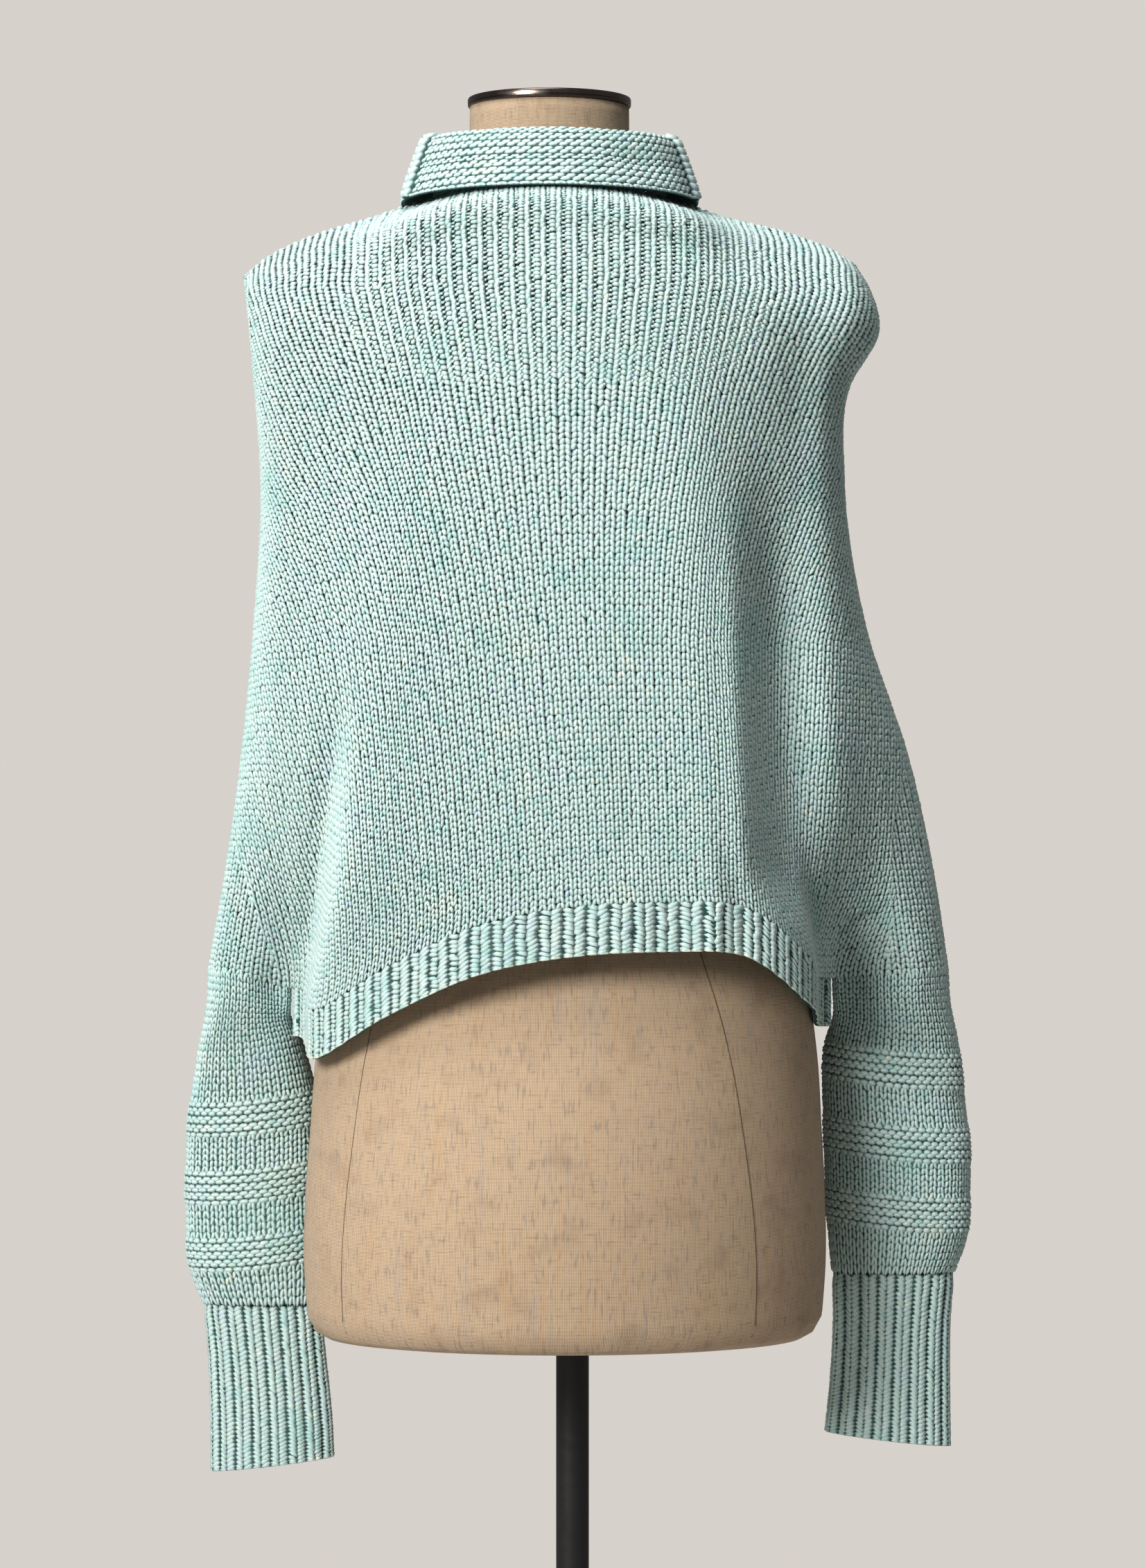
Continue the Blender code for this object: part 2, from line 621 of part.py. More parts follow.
def build_sleeve(name, table, bands, left, collection, material):
    rings = sleeve_rings(table, bands, left)
    outer = []
    plain = []
    for index, (ring, raised) in enumerate(rings):
        normal = outward(ring)
        outer.append(ring + normal * BAND_RAISE * raised)
        if raised == 0:
            plain.append(ring - normal * WALL)
    keep = [0, 1, 2, 3] + list(range(5, len(plain), 2))
    if keep[-1] != len(plain) - 1:
        keep.append(len(plain) - 1)
    inner = [plain[k] for k in keep]
    drop = np.array([0, 0, SEAM_GAP])
    outer[0] = outer[0] - drop
    inner[0] = inner[0] - drop
    tube_wall(name, oriented(np.array(outer)), oriented(np.array(inner)), collection, material)


def build_cuff(name, table, collection, material):
    count = CUFF_RIBS * 4
    outer = []
    inner = []
    for index, row in enumerate(table):
        ring = even_ring(ellipse_ring(row, 128, CUFF_COLUMNS), count)
        inward = (ring[:, 0] - ring[0, 0]) / (ring[count // 2, 0] - ring[0, 0])
        if index == len(table) - 1:
            ring[:, 2] += CUFF_SLANT * MM * inward
        if index == 0:
            ring[:, 2] -= SEAM_GAP * 0.3
        normal = outward(ring)
        raised = np.array([1.0, 1.0, 0.0, 0.0] * CUFF_RIBS)[:, None] * RIB_RAISE
        outer.append(ring + normal * (raised - RIB_RAISE))
        if index in (0, len(table) - 1, 1):
            inner.append(ring - normal * (WALL + RIB_RAISE * 0.4))
    tube_wall(name, oriented(np.array(outer)), oriented(np.array(inner)), collection, material)


def hem_line():
    """The body's lower edge as a closed ring, from the left underarm round the back and the front."""
    places = [s for s in half_places(0) if 3.0 <= s <= 11.0]
    back = [body_point(1.0, s) for s in places]
    front = [body_point(1.0, 14.0 + s) for s in places]
    ring = []

    def cap(a, b, turn):
        middle = (a + b) / 2
        half = (b - a) / 2
        points = []
        for k in (1, 2, 3, 4, 5):
            angle = math.pi * k / 6
            point = middle - half * math.cos(angle)
            point[0] = middle[0] + turn * math.sin(angle)
            points.append(point)
        return points

    ring += back
    ring += cap(back[-1], front[0], 4.0 * MM)
    corners = list(range(len(back))) + list(range(len(ring), len(ring) + len(front)))
    ring += front
    ring += cap(front[-1], back[0], -4.0 * MM)
    return ring, corners


def build_hem(collection, material):
    count = HEM_RIBS * 3
    ring, corners = hem_line()
    top = even_ring(ring, count, corners)
    raised = np.array([0.0, 1.0, 1.0] * HEM_RIBS)[:, None] * RIB_RAISE
    outer = []
    inner = []
    for f in (0.0, 0.25, 1.0):
        ring = top.copy()
        ring[:, 2] -= HEM_RIB_DEPTH * f + SEAM_GAP
        normal = outward(ring)
        lift = min(1.0, f / 0.25)
        outer.append(ring + normal * (raised * lift - RIB_RAISE * 0.5 * lift))
        if f != 0.25:
            inner.append(ring - normal * (WALL + RIB_RAISE * 0.5 * lift * 0))
    tube_wall("hem_rib", oriented(np.array(outer)), oriented(np.array(inner)), collection, material)


def collar_middle(turn, row):
    """Middle line of the collar wall at an angle (degrees from the right side towards the back)."""
    level = dict(zip(COLLAR_COLUMNS, row))
    angle = math.radians(turn)
    front = max(0.0, -math.sin(angle))
    x = NECK_X + level["half_width"] * MM * math.cos(angle)
    y = -level["half_depth"] * MM * math.sin(angle)
    z = level["height"] * MM
    if level["half_width"] > 79:
        flap = min(max((1512.6 - level["height"]) / 41.6, 0.0), 1.0)
        z += flap * (max(0.0, math.sin(angle)) * BACK_LIFT - front * FRONT_DROP)
    return np.array([x, y, z])


def neckline():
    """The body's neck edge by angle: turn in degrees, x, y and z, sorted by turn."""
    rows = []
    places = [s for s in half_places(0) if 5.0 <= s <= 9.0]
    for place in places + [14.0 + s for s in places]:
        point = body_point(0.0, place)
        turn = math.degrees(math.atan2(-point[1], point[0] - NECK_X)) % 360
        rows.append((turn, *point))
    rows.sort()
    rows = np.array(rows)
    return np.concatenate([rows - (360, 0, 0, 0), rows, rows + (360, 0, 0, 0)])


def collar_foot(turn, edge):
    """Where the collar stands on the neck edge: half a wall inside it and a seam above."""
    point = np.array([np.interp(turn, edge[:, 0], edge[:, k]) for k in (1, 2, 3)])
    inward = np.array([NECK_X - point[0], -point[1], 0.0])
    inward /= np.linalg.norm(inward)
    return point + inward * COLLAR_WALL / 2 + np.array([0, 0, SEAM_GAP + 0.1 * MM])


def build_collar(name, first, last, steps, collection, material):
    turns = [first + (last - first) * k / steps for k in range(steps + 1)]
    if name == "collar_back":
        turns = sorted(set(turns + [first + CHAIN_WIDTH, first + CHAIN_WIDTH + 1.2,
                                    last - CHAIN_WIDTH, last - CHAIN_WIDTH - 1.2]))
    rings = []
    edge = neckline()
    for turn in turns:
        upper = [collar_middle(turn, row) for row in COLLAR_ROWS]
        foot = collar_foot(turn, edge)
        knee = foot * 0.68 + upper[0] * 0.32
        knee[:2] = foot[:2] * 0.45 + upper[0][:2] * 0.55
        line = np.array([foot, knee] + upper)
        ahead = np.gradient(line, axis=0)
        ahead /= np.linalg.norm(ahead, axis=1)[:, None]
        radial = np.array([math.cos(math.radians(turn)), -math.sin(math.radians(turn)), 0.0])
        around = np.cross(radial, np.array([0, 0, 1.0]))
        normal = np.cross(ahead, around)
        normal /= np.linalg.norm(normal, axis=1)[:, None]
        if (normal[-1] * radial).sum() < 0:
            normal = -normal
        normal[0] = -radial
        thick = np.full(len(line), COLLAR_WALL / 2)
        near = min(abs(turn - first), abs(turn - last))
        raise_by = CHAIN_RAISE if name == "collar_back" and near <= CHAIN_WIDTH + 0.1 else 0.0
        outside = line + normal * thick[:, None]
        outside[6:] += normal[6:] * raise_by
        inside = line - normal * thick[:, None]
        rings.append(np.concatenate([outside, inside[::-1]]))
    ring_solid(name, rings, collection, material)


# ---------------------------------------------------------------- build
def main():
    for thing in list(bpy.data.objects):
        bpy.data.objects.remove(thing, do_unlink=True)
    collection = bpy.data.collections.new("batwing_sweater_on_form")
    bpy.context.scene.collection.children.link(collection)

    knit = make_material("knit", (0.56, 0.72, 0.69), 0.9)
    knit_trim = make_material("knit_trim", (0.60, 0.75, 0.72), 0.9)
    linen = make_material("linen", (0.56, 0.47, 0.37), 0.85)
    metal = make_material("cap_metal", (0.30, 0.28, 0.27), 0.25, 1.0)
    black = make_material("stand_black", (0.02, 0.02, 0.022), 0.45)

    build_form(collection, linen, metal, black)
    build_panel("body_back", 0, collection, knit)
    build_panel("body_front", 14, collection, knit)
    build_sleeve("sleeve_left", SLEEVE_LEFT, BANDS_LEFT, True, collection, knit)
    build_sleeve("sleeve_right", SLEEVE_RIGHT, BANDS_RIGHT, False, collection, knit)
    build_cuff("cuff_left", CUFF_LEFT, collection, knit_trim)
    build_cuff("cuff_right", CUFF_RIGHT, collection, knit_trim)
    build_hem(collection, knit_trim)
    build_collar("collar_back", COLLAR_SEAM_RIGHT, COLLAR_SEAM_LEFT, 20, collection, knit_trim)
    gap = math.degrees(SEAM_GAP / (78 * MM))
    build_collar("collar_front", COLLAR_SEAM_LEFT + gap, COLLAR_SEAM_RIGHT + 360 - gap, 24, collection, knit_trim)


main()
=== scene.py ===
"""Batwing knitted sweater on a limbless dress form: yarn, stitches, linen, stand, light and camera.
Metres, +Z up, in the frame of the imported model."""

import math

import bmesh
import bpy
import numpy as np
from bpy.props import FloatProperty, FloatVectorProperty, PointerProperty
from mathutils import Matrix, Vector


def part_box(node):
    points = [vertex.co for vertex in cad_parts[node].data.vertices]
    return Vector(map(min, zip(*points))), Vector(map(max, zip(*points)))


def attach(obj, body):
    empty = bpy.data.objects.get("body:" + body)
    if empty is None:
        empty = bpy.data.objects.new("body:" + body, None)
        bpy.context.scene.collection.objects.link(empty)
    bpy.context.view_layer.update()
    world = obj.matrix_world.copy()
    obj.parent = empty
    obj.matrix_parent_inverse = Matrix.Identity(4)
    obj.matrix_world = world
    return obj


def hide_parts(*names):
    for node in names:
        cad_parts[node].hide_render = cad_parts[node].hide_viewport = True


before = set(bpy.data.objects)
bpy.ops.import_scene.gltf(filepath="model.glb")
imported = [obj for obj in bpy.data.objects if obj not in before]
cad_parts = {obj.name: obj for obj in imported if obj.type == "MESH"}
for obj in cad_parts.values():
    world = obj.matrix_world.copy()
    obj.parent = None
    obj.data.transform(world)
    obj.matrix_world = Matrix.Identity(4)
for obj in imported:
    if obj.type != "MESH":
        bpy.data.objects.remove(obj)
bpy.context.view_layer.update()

bl_info = {
    "name": "Batwing sweater on a dress form",
    "version": (1, 0, 0),
    "blender": (4, 5, 0),
    "location": "3D View > Sidebar > Sweater",
    "description": "Knits the sweater stitch by stitch, covers the form with linen and finishes the stand",
    "category": "Add Mesh",
}

MM = 0.001
BODY = "root"
BAKE_MAP = "OFBake"

# ---------------------------------------------------------------- named sizes, as in the solids
WALL = 2.4 * MM
SEAM_GAP = 0.35 * MM
RIB_RAISE = 1.5 * MM
BAND_RAISE = 1.3 * MM
HEM_RIB_DEPTH = 32 * MM
HEM_RIBS = 72
CUFF_RIBS = 16
NECK_X = -15.5 * MM
POLE_RADIUS = 11 * MM
NECK_TOP = 1535.9 * MM
CAP_RADIUS = 54.8 * MM
CAP_THICK = 6.3 * MM

# Dress form: a row per level. Level height, centre x, half width, back y, front y, all in mm.
FORM_COLUMNS = ("height", "centre", "half_width", "back", "front")
FORM_ROWS = (
    (710.5, -5.3, 150.0, -106, 93),
    (711.8, -5.3, 160.0, -115, 101),
    (716.0, -5.3, 167.5, -122, 107),
    (726.0, -5.3, 173.0, -126, 110),
    (760.0, -5.3, 175.4, -129, 112),
    (800.0, -5.0, 175.0, -131, 113),
    (850.0, -4.5, 172.0, -129, 112),
    (900.0, -4.0, 168.5, -121, 108),
    (950.0, -4.0, 161.0, -107, 103),
    (1000.0, -4.5, 146.0, -92, 97),
    (1050.0, -6.0, 129.0, -83, 92),
    (1100.0, -8.0, 126.0, -84, 96),
    (1150.0, -9.5, 133.0, -92, 108),
    (1200.0, -11.0, 145.0, -100, 124),
    (1250.0, -12.0, 153.0, -106, 130),
    (1300.0, -13.0, 158.0, -108, 118),
    (1350.0, -14.5, 168.0, -104, 98),
    (1388.0, -14.5, 186.0, -89, 75),
    (1404.5, -14.5, 193.0, -78, 65),
    (1416.5, -14.5, 188.0, -70, 57),
    (1432.5, -14.5, 160.5, -62, 50),
    (1448.0, -14.5, 122.0, -57, 46),
    (1458.0, -15.0, 90.0, -53, 44),
    (1467.0, -15.5, 71.0, -52, 45),
    (1480.0, -15.5, 60.0, -52, 48),
    (1505.0, -15.5, 55.0, -53, 52),
    (1535.9, -15.5, 54.0, -53, 53),
)

FORM_FOOT = 726.0         # below this the form rounds under
# Seams of the linen: height and angle from the right side towards the back, in degrees. The long curved
# ones come again on the front.
FORM_SEAMS = (
    ((710, 43.5), (780, 44.5), (845, 47), (920, 51.5), (966, 55), (1020, 57), (1240, 60), (1455, 66)),
    ((710, 148), (780, 146.5), (845, 144.5), (920, 141), (966, 138), (1020, 135), (1240, 128), (1455, 118)),
    ((711, 0.5), (1100, 0.5), (1440, 0.5)),
    ((711, 180.5), (1100, 180.5), (1440, 180.5)),
)

# Sweater body: columns run across the back from the left outer edge to the right one. edge: outer fold,
# arm: middle of the sleeve part, notch and side: the two sides of the underarm valley, crest: the fold
# that hangs over the valley, mid, nape and centre: the back itself.
COLUMNS = ("edge", "arm", "notch", "side", "crest", "mid", "nape", "centre",
           "nape", "mid", "crest", "side", "notch", "arm", "edge")
LEVELS = (0.0, 0.03, 0.09, 0.17, 0.30, 0.50, 0.70, 0.86, 1.0)
BODY_X = (
    (-221.6, -208, -186, -165, -139, -94, -62, -15.5, 31, 63, 108, 134, 155, 178, 191.0),
    (-219.5, -206, -184, -163, -137, -98, -62, -15.5, 31, 67, 108, 135, 156, 183, 199.0),
    (-216.3, -203, -182, -161, -134, -99, -60, -15.5, 29, 70, 108, 135, 157, 187, 205.8),
    (-213.1, -199, -179, -159, -132, -98, -58, -15.0, 28, 69, 106, 131, 150, 172, 186.0),
    (-209.6, -195, -175, -156, -130, -96, -57, -14.0, 29, 69, 105, 129, 147, 168, 182.7),
    (-214.9, -199, -177, -157, -132, -97, -55, -10.0, 33, 74, 110, 136, 156, 180, 196.6),
    (-224.8, -207, -183, -161, -139, -101, -53, -4.0, 42, 86, 124, 151, 174, 206, 227.8),
    (-235.9, -215, -191, -172, -155, -109, -54, 1.0, 51, 99, 140, 162, 182, 220, 245.0),
    (-247.8, -226, -193.5, -185.0, -171.5, -120, -60, 4.0, 60, 108, 156.5, 170.5, 179.0, 231, 255.6),
)
EDGE_Y = (
    (0.0, 0.0), (0.5, 0.5), (4.0, 5.0), (9.0, 9.0), (12.0, 12.0), (18.0, 18.0), (26.0, 26.0),
    (35.0, 35.0), (42.0, 42.0),
)
BACK_Y = (
    (0, 0, 0, 0, -1, -45, -66, -45, -1, 0, 0, 0, 0),
    (-15, -22, -28, -42, -71, -87, -95, -87, -71, -42, -28, -22, -17),
    (-28, -45, -57, -71, -89, -100, -104, -100, -89, -71, -58, -47, -32),
    (-33, -50, -65, -82, -99, -109, -112, -109, -99, -82, -66, -50, -33),
    (-32, -49, -64, -83, -104, -115, -119, -115, -104, -83, -64, -49, -32),
    (-28, -50, -68, -91, -111, -121, -124, -121, -111, -91, -66, -46, -26),
    (-14, -42, -66, -93, -115, -125, -128, -125, -114, -92, -66, -44, -12),
    (2, -14, -36, -84, -116, -128, -131, -127, -115, -86, -48, -20, 2),
    (12, 27, 14, -52, -109, -130, -134, -129, -113, -66, 12, 26, 12),
)
FRONT_Y = (
    (0, 0, 0, 0, 1, 43, 62, 43, 1, 0, 0, 0, 0),
    (15, 22, 27, 36, 55, 75, 84, 75, 55, 36, 27, 22, 17),
    (28, 45, 54, 64, 77, 88, 92, 88, 77, 64, 54, 47, 32),
    (36, 51, 62, 75, 92, 104, 108, 104, 92, 75, 62, 51, 36),
    (44, 62, 76, 98, 122, 133, 137, 133, 122, 98, 76, 62, 44),
    (54, 76, 94, 120, 143, 151, 152, 151, 143, 120, 94, 76, 54),
    (66, 84, 100, 124, 146, 155, 156, 155, 146, 124, 100, 84, 66),
    (74, 72, 82, 118, 146, 157, 158, 157, 146, 118, 82, 72, 74),
    (74, 37, 43, 98, 142, 157, 160, 157, 142, 98, 43, 37, 74),
)
# Height of each column's top and bottom, back then front.
BACK_TOP = (1422, 1434, 1446, 1454, 1461.5, 1475, 1480, 1482, 1480, 1475, 1461.5, 1455.5, 1449, 1439, 1429.5)
BACK_END = (955.5, 953, 944, 944, 932.5, 963.5, 991, 1003, 1005.5, 1003.5, 969, 951, 951, 954, 956)
FRONT_TOP = (1422, 1434, 1446, 1454, 1461.5, 1475, 1468, 1461, 1468, 1475, 1461.5, 1455.5, 1449, 1439, 1429.5)
FRONT_END = (955.5, 953, 944, 944, 947, 962, 975, 980, 979, 972, 960, 951, 951, 954, 956)

# Soft folds in the hanging part: x at the upper end, height there, x at the lower end, height there,
# how far it stands out (+) or sinks in (-) and its half width, in mm; side -1 is the back, +1 the front.
FOLD_COLUMNS = ("side", "top_x", "top_z", "end_x", "end_z", "out", "half_width")
FOLDS = (
    (-1, 30, 1230, 71, 960, -5.0, 20),
    (-1, 62, 1200, 103, 960, 4.5, 17),
    (-1, 84, 1100, 118, 950, -6.0, 9),
    (-1, -40, 1180, -66, 950, 2.5, 26),
    (-1, -92, 1120, -108, 930, -3.0, 16),
    (1, -46, 1240, -80, 930, -5.0, 20),
    (1, -10, 1220, -28, 930, 4.0, 20),
    (1, 34, 1240, 52, 930, -5.0, 18),
    (1, 74, 1200, 98, 930, 4.0, 18),
)

# Finer creases of the knitting itself, in the same columns.
CREASES = (
    (-1, 128, 1300, 141, 955, -17.0, 19),
    (-1, 101, 1290, 115, 955, 4.0, 9),
    (-1, 158, 1290, 189, 955, 6.0, 16),
    (-1, -150, 1160, -177, 960, -9.0, 9),
    (-1, -138, 1160, -158, 960, 1.5, 10),
    (-1, 30, 1180, 44, 960, -3.0, 12),
    (1, 120, 1240, 150, 960, -6.0, 12),
    (1, -128, 1240, -152, 960, -6.0, 12),
)

# Lower sleeves: a row per level. Height, outer x, inner x, centre y, half depth (mm).
SLEEVE_COLUMNS = ("height", "outer", "inner", "centre", "half_depth")
SLEEVE_LEFT = (
    (954.0, -247.8, -190.5, 42.0, 26.0),
    (923.5, -251.8, -191.0, 48.0, 27.0),
    (898.0, -255.8, -184.0, 53.0, 28.0),
    (868.0, -260.5, -176.0, 58.0, 28.5),
    (842.5, -263.5, -172.5, 60.0, 28.5),
    (807.5, -264.5, -171.5, 61.0, 28.0),
    (777.0, -264.0, -170.5, 61.0, 27.5),
    (753.5, -262.0, -170.0, 60.0, 26.5),
    (736.5, -256.5, -170.5, 59.0, 24.0),
    (727.5, -252.5, -171.5, 58.0, 22.0),
)
SLEEVE_RIGHT = (
    (954.0, 255.6, 176.5, 42.0, 26.0),
    (923.5, 261.0, 177.5, 48.0, 27.5),
    (898.0, 264.0, 172.5, 52.0, 28.5),
    (868.0, 267.5, 170.5, 55.0, 28.5),
    (842.5, 270.5, 171.5, 56.0, 28.5),
    (817.5, 271.5, 172.0, 56.0, 28.0),
    (797.0, 271.0, 172.5, 56.0, 27.5),
    (772.0, 269.0, 174.0, 56.0, 26.5),
    (758.5, 264.5, 175.5, 55.5, 24.5),
    (749.3, 260.5, 177.0, 55.0, 22.5),
)
# Raised purl bands: height of the top and of the lower edge on the outer side, mm.
BANDS_LEFT = ((864.5, 842.0), (817.6, 795.9), (772.0, 750.4))
BANDS_RIGHT = ((898.5, 874.5), (847.5, 824.5), (800.0, 777.5))
BAND_LIFT = 9.0           # bands rise towards the inner side of the sleeve by this much, mm

CUFF_COLUMNS = ("height", "outer", "inner", "centre", "half_depth")
CUFF_LEFT = (
    (727.0, -252.3, -171.5, 58.0, 21.5),
    (697.0, -249.5, -168.5, 57.0, 18.5),
    (656.0, -248.0, -164.0, 56.0, 17.0),
    (613.5, -247.5, -162.0, 55.0, 18.0),
)
CUFF_RIGHT = (
    (748.8, 260.5, 177.0, 55.0, 22.0),
    (718.0, 258.0, 177.5, 54.0, 18.5),
    (672.0, 257.5, 175.0, 53.0, 17.0),
    (631.0, 258.0, 171.5, 52.0, 18.0),
)
CUFF_SLANT = 10.0         # the mouth's inner side ends this much higher than its outer side, mm

# Collar: one wall that stands up from the neckline, turns over and comes down outside.
# half width, half depth, height (mm) along the wall's middle line.
COLLAR_COLUMNS = ("half_width", "half_depth", "height")
COLLAR_ROWS = (
    (76.2, 65.0, 1499.0),
    (76.4, 66.0, 1506.0),
    (78.4, 68.0, 1511.0),
    (81.6, 71.5, 1512.6),
    (84.8, 75.5, 1510.6),
    (87.6, 80.0, 1504.5),
    (91.5, 83.8, 1494.0),
    (95.4, 87.6, 1483.0),
    (99.0, 90.6, 1471.0),
)
COLLAR_FOLD = COLLAR_ROWS[3]   # the turned-over edge
COLLAR_WALL = 2.6 * MM
FRONT_DROP = 12 * MM      # the turned-down edge is this much lower at the front
BACK_LIFT = 2.6 * MM
COLLAR_SEAM_RIGHT = 9.0   # degrees from the right side towards the back
COLLAR_SEAM_LEFT = 165.0
CHAIN_RAISE = 2.2 * MM    # chained selvedge beside each collar seam
CHAIN_WIDTH = 5.5         # degrees


# ---------------------------------------------------------------- the knitting's gauge
GROUND_SINK = 0.9 * MM    # the ground under the stitches lies this much inside the solid's face
FOLD_CLEAR = 3.2 * MM     # a pressed crease keeps this far from the middle between back and front
SHELL_SINK = 1.4 * MM     # the body's ground lies this much deeper still, clear of the stitches
SLEEVE_FULLNESS = 1.2     # the knit gathers in where the sleeve starts
# Height of a row (a course) down the body, from the neck (level 0) to the hem (level 1), in mm.
ROW_HEIGHT = ((0.00, 3.00), (0.12, 3.05), (0.30, 3.60), (0.50, 4.20), (0.67, 4.60), (0.85, 4.40), (1.00, 4.15))
# Width of a stitch (a wale) by height above the floor, in mm: the cloth is stretched over the shoulders.
STITCH_WIDTH = (
    (997, 5.65), (1042, 5.75), (1087, 5.85), (1132, 6.0), (1176, 6.15), (1221, 6.6), (1266, 7.3), (1302, 8.1),
    (1338, 8.8), (1374, 9.6), (1410, 10.3), (1441, 10.4),
)
SLEEVE_STITCH = 6.2       # mm round the sleeve
SLEEVE_ROW = 4.35
BAND_ROWS = 8
RIB_ROW = 3.10
COLLAR_STITCHES = 80      # right round the collar
COLLAR_PER_DEGREE = COLLAR_STITCHES / 360.0
COLLAR_SAMPLES = 61       # points down the collar's wall
COLLAR_ROW = 2.64
# How far in from the outer fold the sleeve's upright stitches reach on the body: level, left, right (mm).
FASHION_LINE = ((0.70, 0, 8), (0.78, 0, 30), (0.84, 16, 38), (0.92, 40, 43), (1.00, 62, 50))
SPANS = len(COLUMNS) - 1  # gaps between the columns of the back, and of the front
FINE = 12                 # samples of the cloth in each gap
MIDDLE = SPANS // 2 * FINE
HALF = 0.5                # fields are sampled at every half stitch and every half row
FAN_STITCHES = 56         # to each side of the middle, more than the body is wide
UPRIGHT_STITCHES = 11     # the widest that the sleeve's upright stitches get on the body
UPRIGHT_MARGIN = 3 * MM   # and how far past the line they may run
END_MARGIN = 0.6 * MM     # no stitch stands closer than this to the end of its row
SIDE_REACH = 6.0 * MM     # how far the side's two wales reach round to the back and the front
LEVEL_SAMPLES = 801       # for spacing the rows evenly down the cloth
LEVEL_COLUMNS = [2, 5, 7, 9, 12]   # of the back, over which the spacing is averaged
EVEN_ROWS, EVEN_WIDTH = 30, 13.0   # rows up and down over which a wale is evened, and how softly
TURN_REACH = 9 * MM       # stitches this close to the outer edge turn to face sideways
STRETCH_FROM, STRETCH_FULL = 1.315, 1.400   # heights between which the shoulders' stitches open
PURL_START, PURL_END = 0.4, 0.6             # rows over which a purl band rises and falls
CUFF_SAMPLES = 12         # points round each rib
HEM_SAMPLES = 6
HEM_ROW = 2.9 * MM
CHAIN_PER_RIB = 2         # cast-off stitches over each rib
RIB_SINK = GROUND_SINK * 0.6


# ---------------------------------------------------------------- settings a maker would change
class YarnSettings(bpy.types.PropertyGroup):
    """Yarn and stitches"""
    yarn_colour: FloatVectorProperty(
        name="Yarn colour", description="Main colour of the yarn", subtype="COLOR", size=3,
        min=0.0, max=1.0, default=(0.515, 0.65, 0.63))
    # The ground under the stitches is painted in this near-black colour: painted shade deep between the stitches.
    shadow_colour: FloatVectorProperty(
        name="Ground colour", description="Colour deep between the stitches", subtype="COLOR", size=3,
        min=0.0, max=1.0, default=(0.030, 0.085, 0.080))
    relief: FloatProperty(
        name="Stitch height", description="How far a stitch stands above the ground under it",
        unit="LENGTH", min=0.0005, max=0.004, default=1.3 * MM)
    unevenness: FloatProperty(
        name="Unevenness", description="How far stitches stray from a perfect grid, as a share of a stitch",
        min=0.0, max=0.3, default=0.055)


class FormSettings(bpy.types.PropertyGroup):
    """Dress form and stand"""
    linen_colour: FloatVectorProperty(
        name="Linen colour", description="Main colour of the form's linen", subtype="COLOR", size=3,
        min=0.0, max=1.0, default=(0.60, 0.455, 0.315))
    thread_width: FloatProperty(
        name="Thread spacing", description="Distance between two threads of the linen",
        unit="LENGTH", min=0.0004, max=0.004, default=0.95 * MM)
    metal_colour: FloatVectorProperty(
        name="Cap colour", description="Colour of the neck cap's metal", subtype="COLOR", size=3,
        min=0.0, max=1.0, default=(0.17, 0.145, 0.13))
    paint_colour: FloatVectorProperty(
        name="Stand colour", description="Colour of the pole and base", subtype="COLOR", size=3,
        min=0.0, max=1.0, default=(0.020, 0.020, 0.021))


class StageSettings(bpy.types.PropertyGroup):
    """Light, floor and camera"""
    camera_distance: FloatProperty(
        name="Camera distance", description="From the pole's axis to the camera", unit="LENGTH",
        min=1.0, max=10.0, default=3.3)
    camera_height: FloatProperty(
        name="Camera height", description="Height of the level camera", unit="LENGTH",
        min=0.2, max=2.5, default=1.082)
    focal_length: FloatProperty(
        name="Focal length", description="Focal length of the camera in millimetres",
        min=20.0, max=300.0, default=112.86)
    key_power: FloatProperty(
        name="Key light", description="Power of the large soft light at the front left", unit="POWER",
        min=0.0, max=2000.0, default=131.0)
    picture_gamma: FloatProperty(
        name="Picture gamma", description="Gamma of the picture, under one for deeper shadows",
        min=0.1, max=3.0, default=0.83)
    surround: FloatProperty(
        name="Surround", description="Light that the pale surround throws on the object",
        min=0.0, max=3.0, default=0.22)


# ---------------------------------------------------------------- curves through named rows
def knots_tangent(values, knots):
    """Slopes at the knots of a smooth curve through values, with uneven spacing allowed."""
    steps = np.diff(knots)
    rise = np.diff(values, axis=0) / steps.reshape((-1,) + (1,) * (values.ndim - 1))
    slopes = np.empty_like(values)
    slopes[0] = rise[0]
    slopes[-1] = rise[-1]
    for i in range(1, len(knots) - 1):
        before, after = steps[i - 1], steps[i]
        slopes[i] = (rise[i - 1] * after + rise[i] * before) / (before + after)
    return slopes


def hermite(f):
    """Weights of the first value, its slope, the last value and its slope, at f from 0 to 1."""
    return 2 * f**3 - 3 * f**2 + 1, f**3 - 2 * f**2 + f, -2 * f**3 + 3 * f**2, f**3 - f**2


def run_length(points):
    """Length along an open line of points, from 0 at the first."""
    return np.concatenate([[0.0], np.cumsum(np.linalg.norm(np.diff(points, axis=0), axis=1))])


def unit(vectors):
    """The same vectors at length 1."""
    return vectors / (np.linalg.norm(vectors, axis=-1)[..., None] + 1e-12)


def along(values, knots, at):
    """The value at one place on a smooth curve through rows of values."""
    values = np.asarray(values, float)
    knots = np.asarray(knots, float)
    slopes = knots_tangent(values, knots)
    i = int(np.clip(np.searchsorted(knots, at, side="right") - 1, 0, len(knots) - 2))
    step = knots[i + 1] - knots[i]
    a, b, c, d = hermite((at - knots[i]) / step)
    return a * values[i] + b * step * slopes[i] + c * values[i + 1] + d * step * slopes[i + 1]


def smooth(value, low, high):
    """0 below low, 1 above high, with soft ends."""
    f = np.clip((np.asarray(value, float) - low) / (high - low), 0.0, 1.0)
    return f * f * (3 - 2 * f)


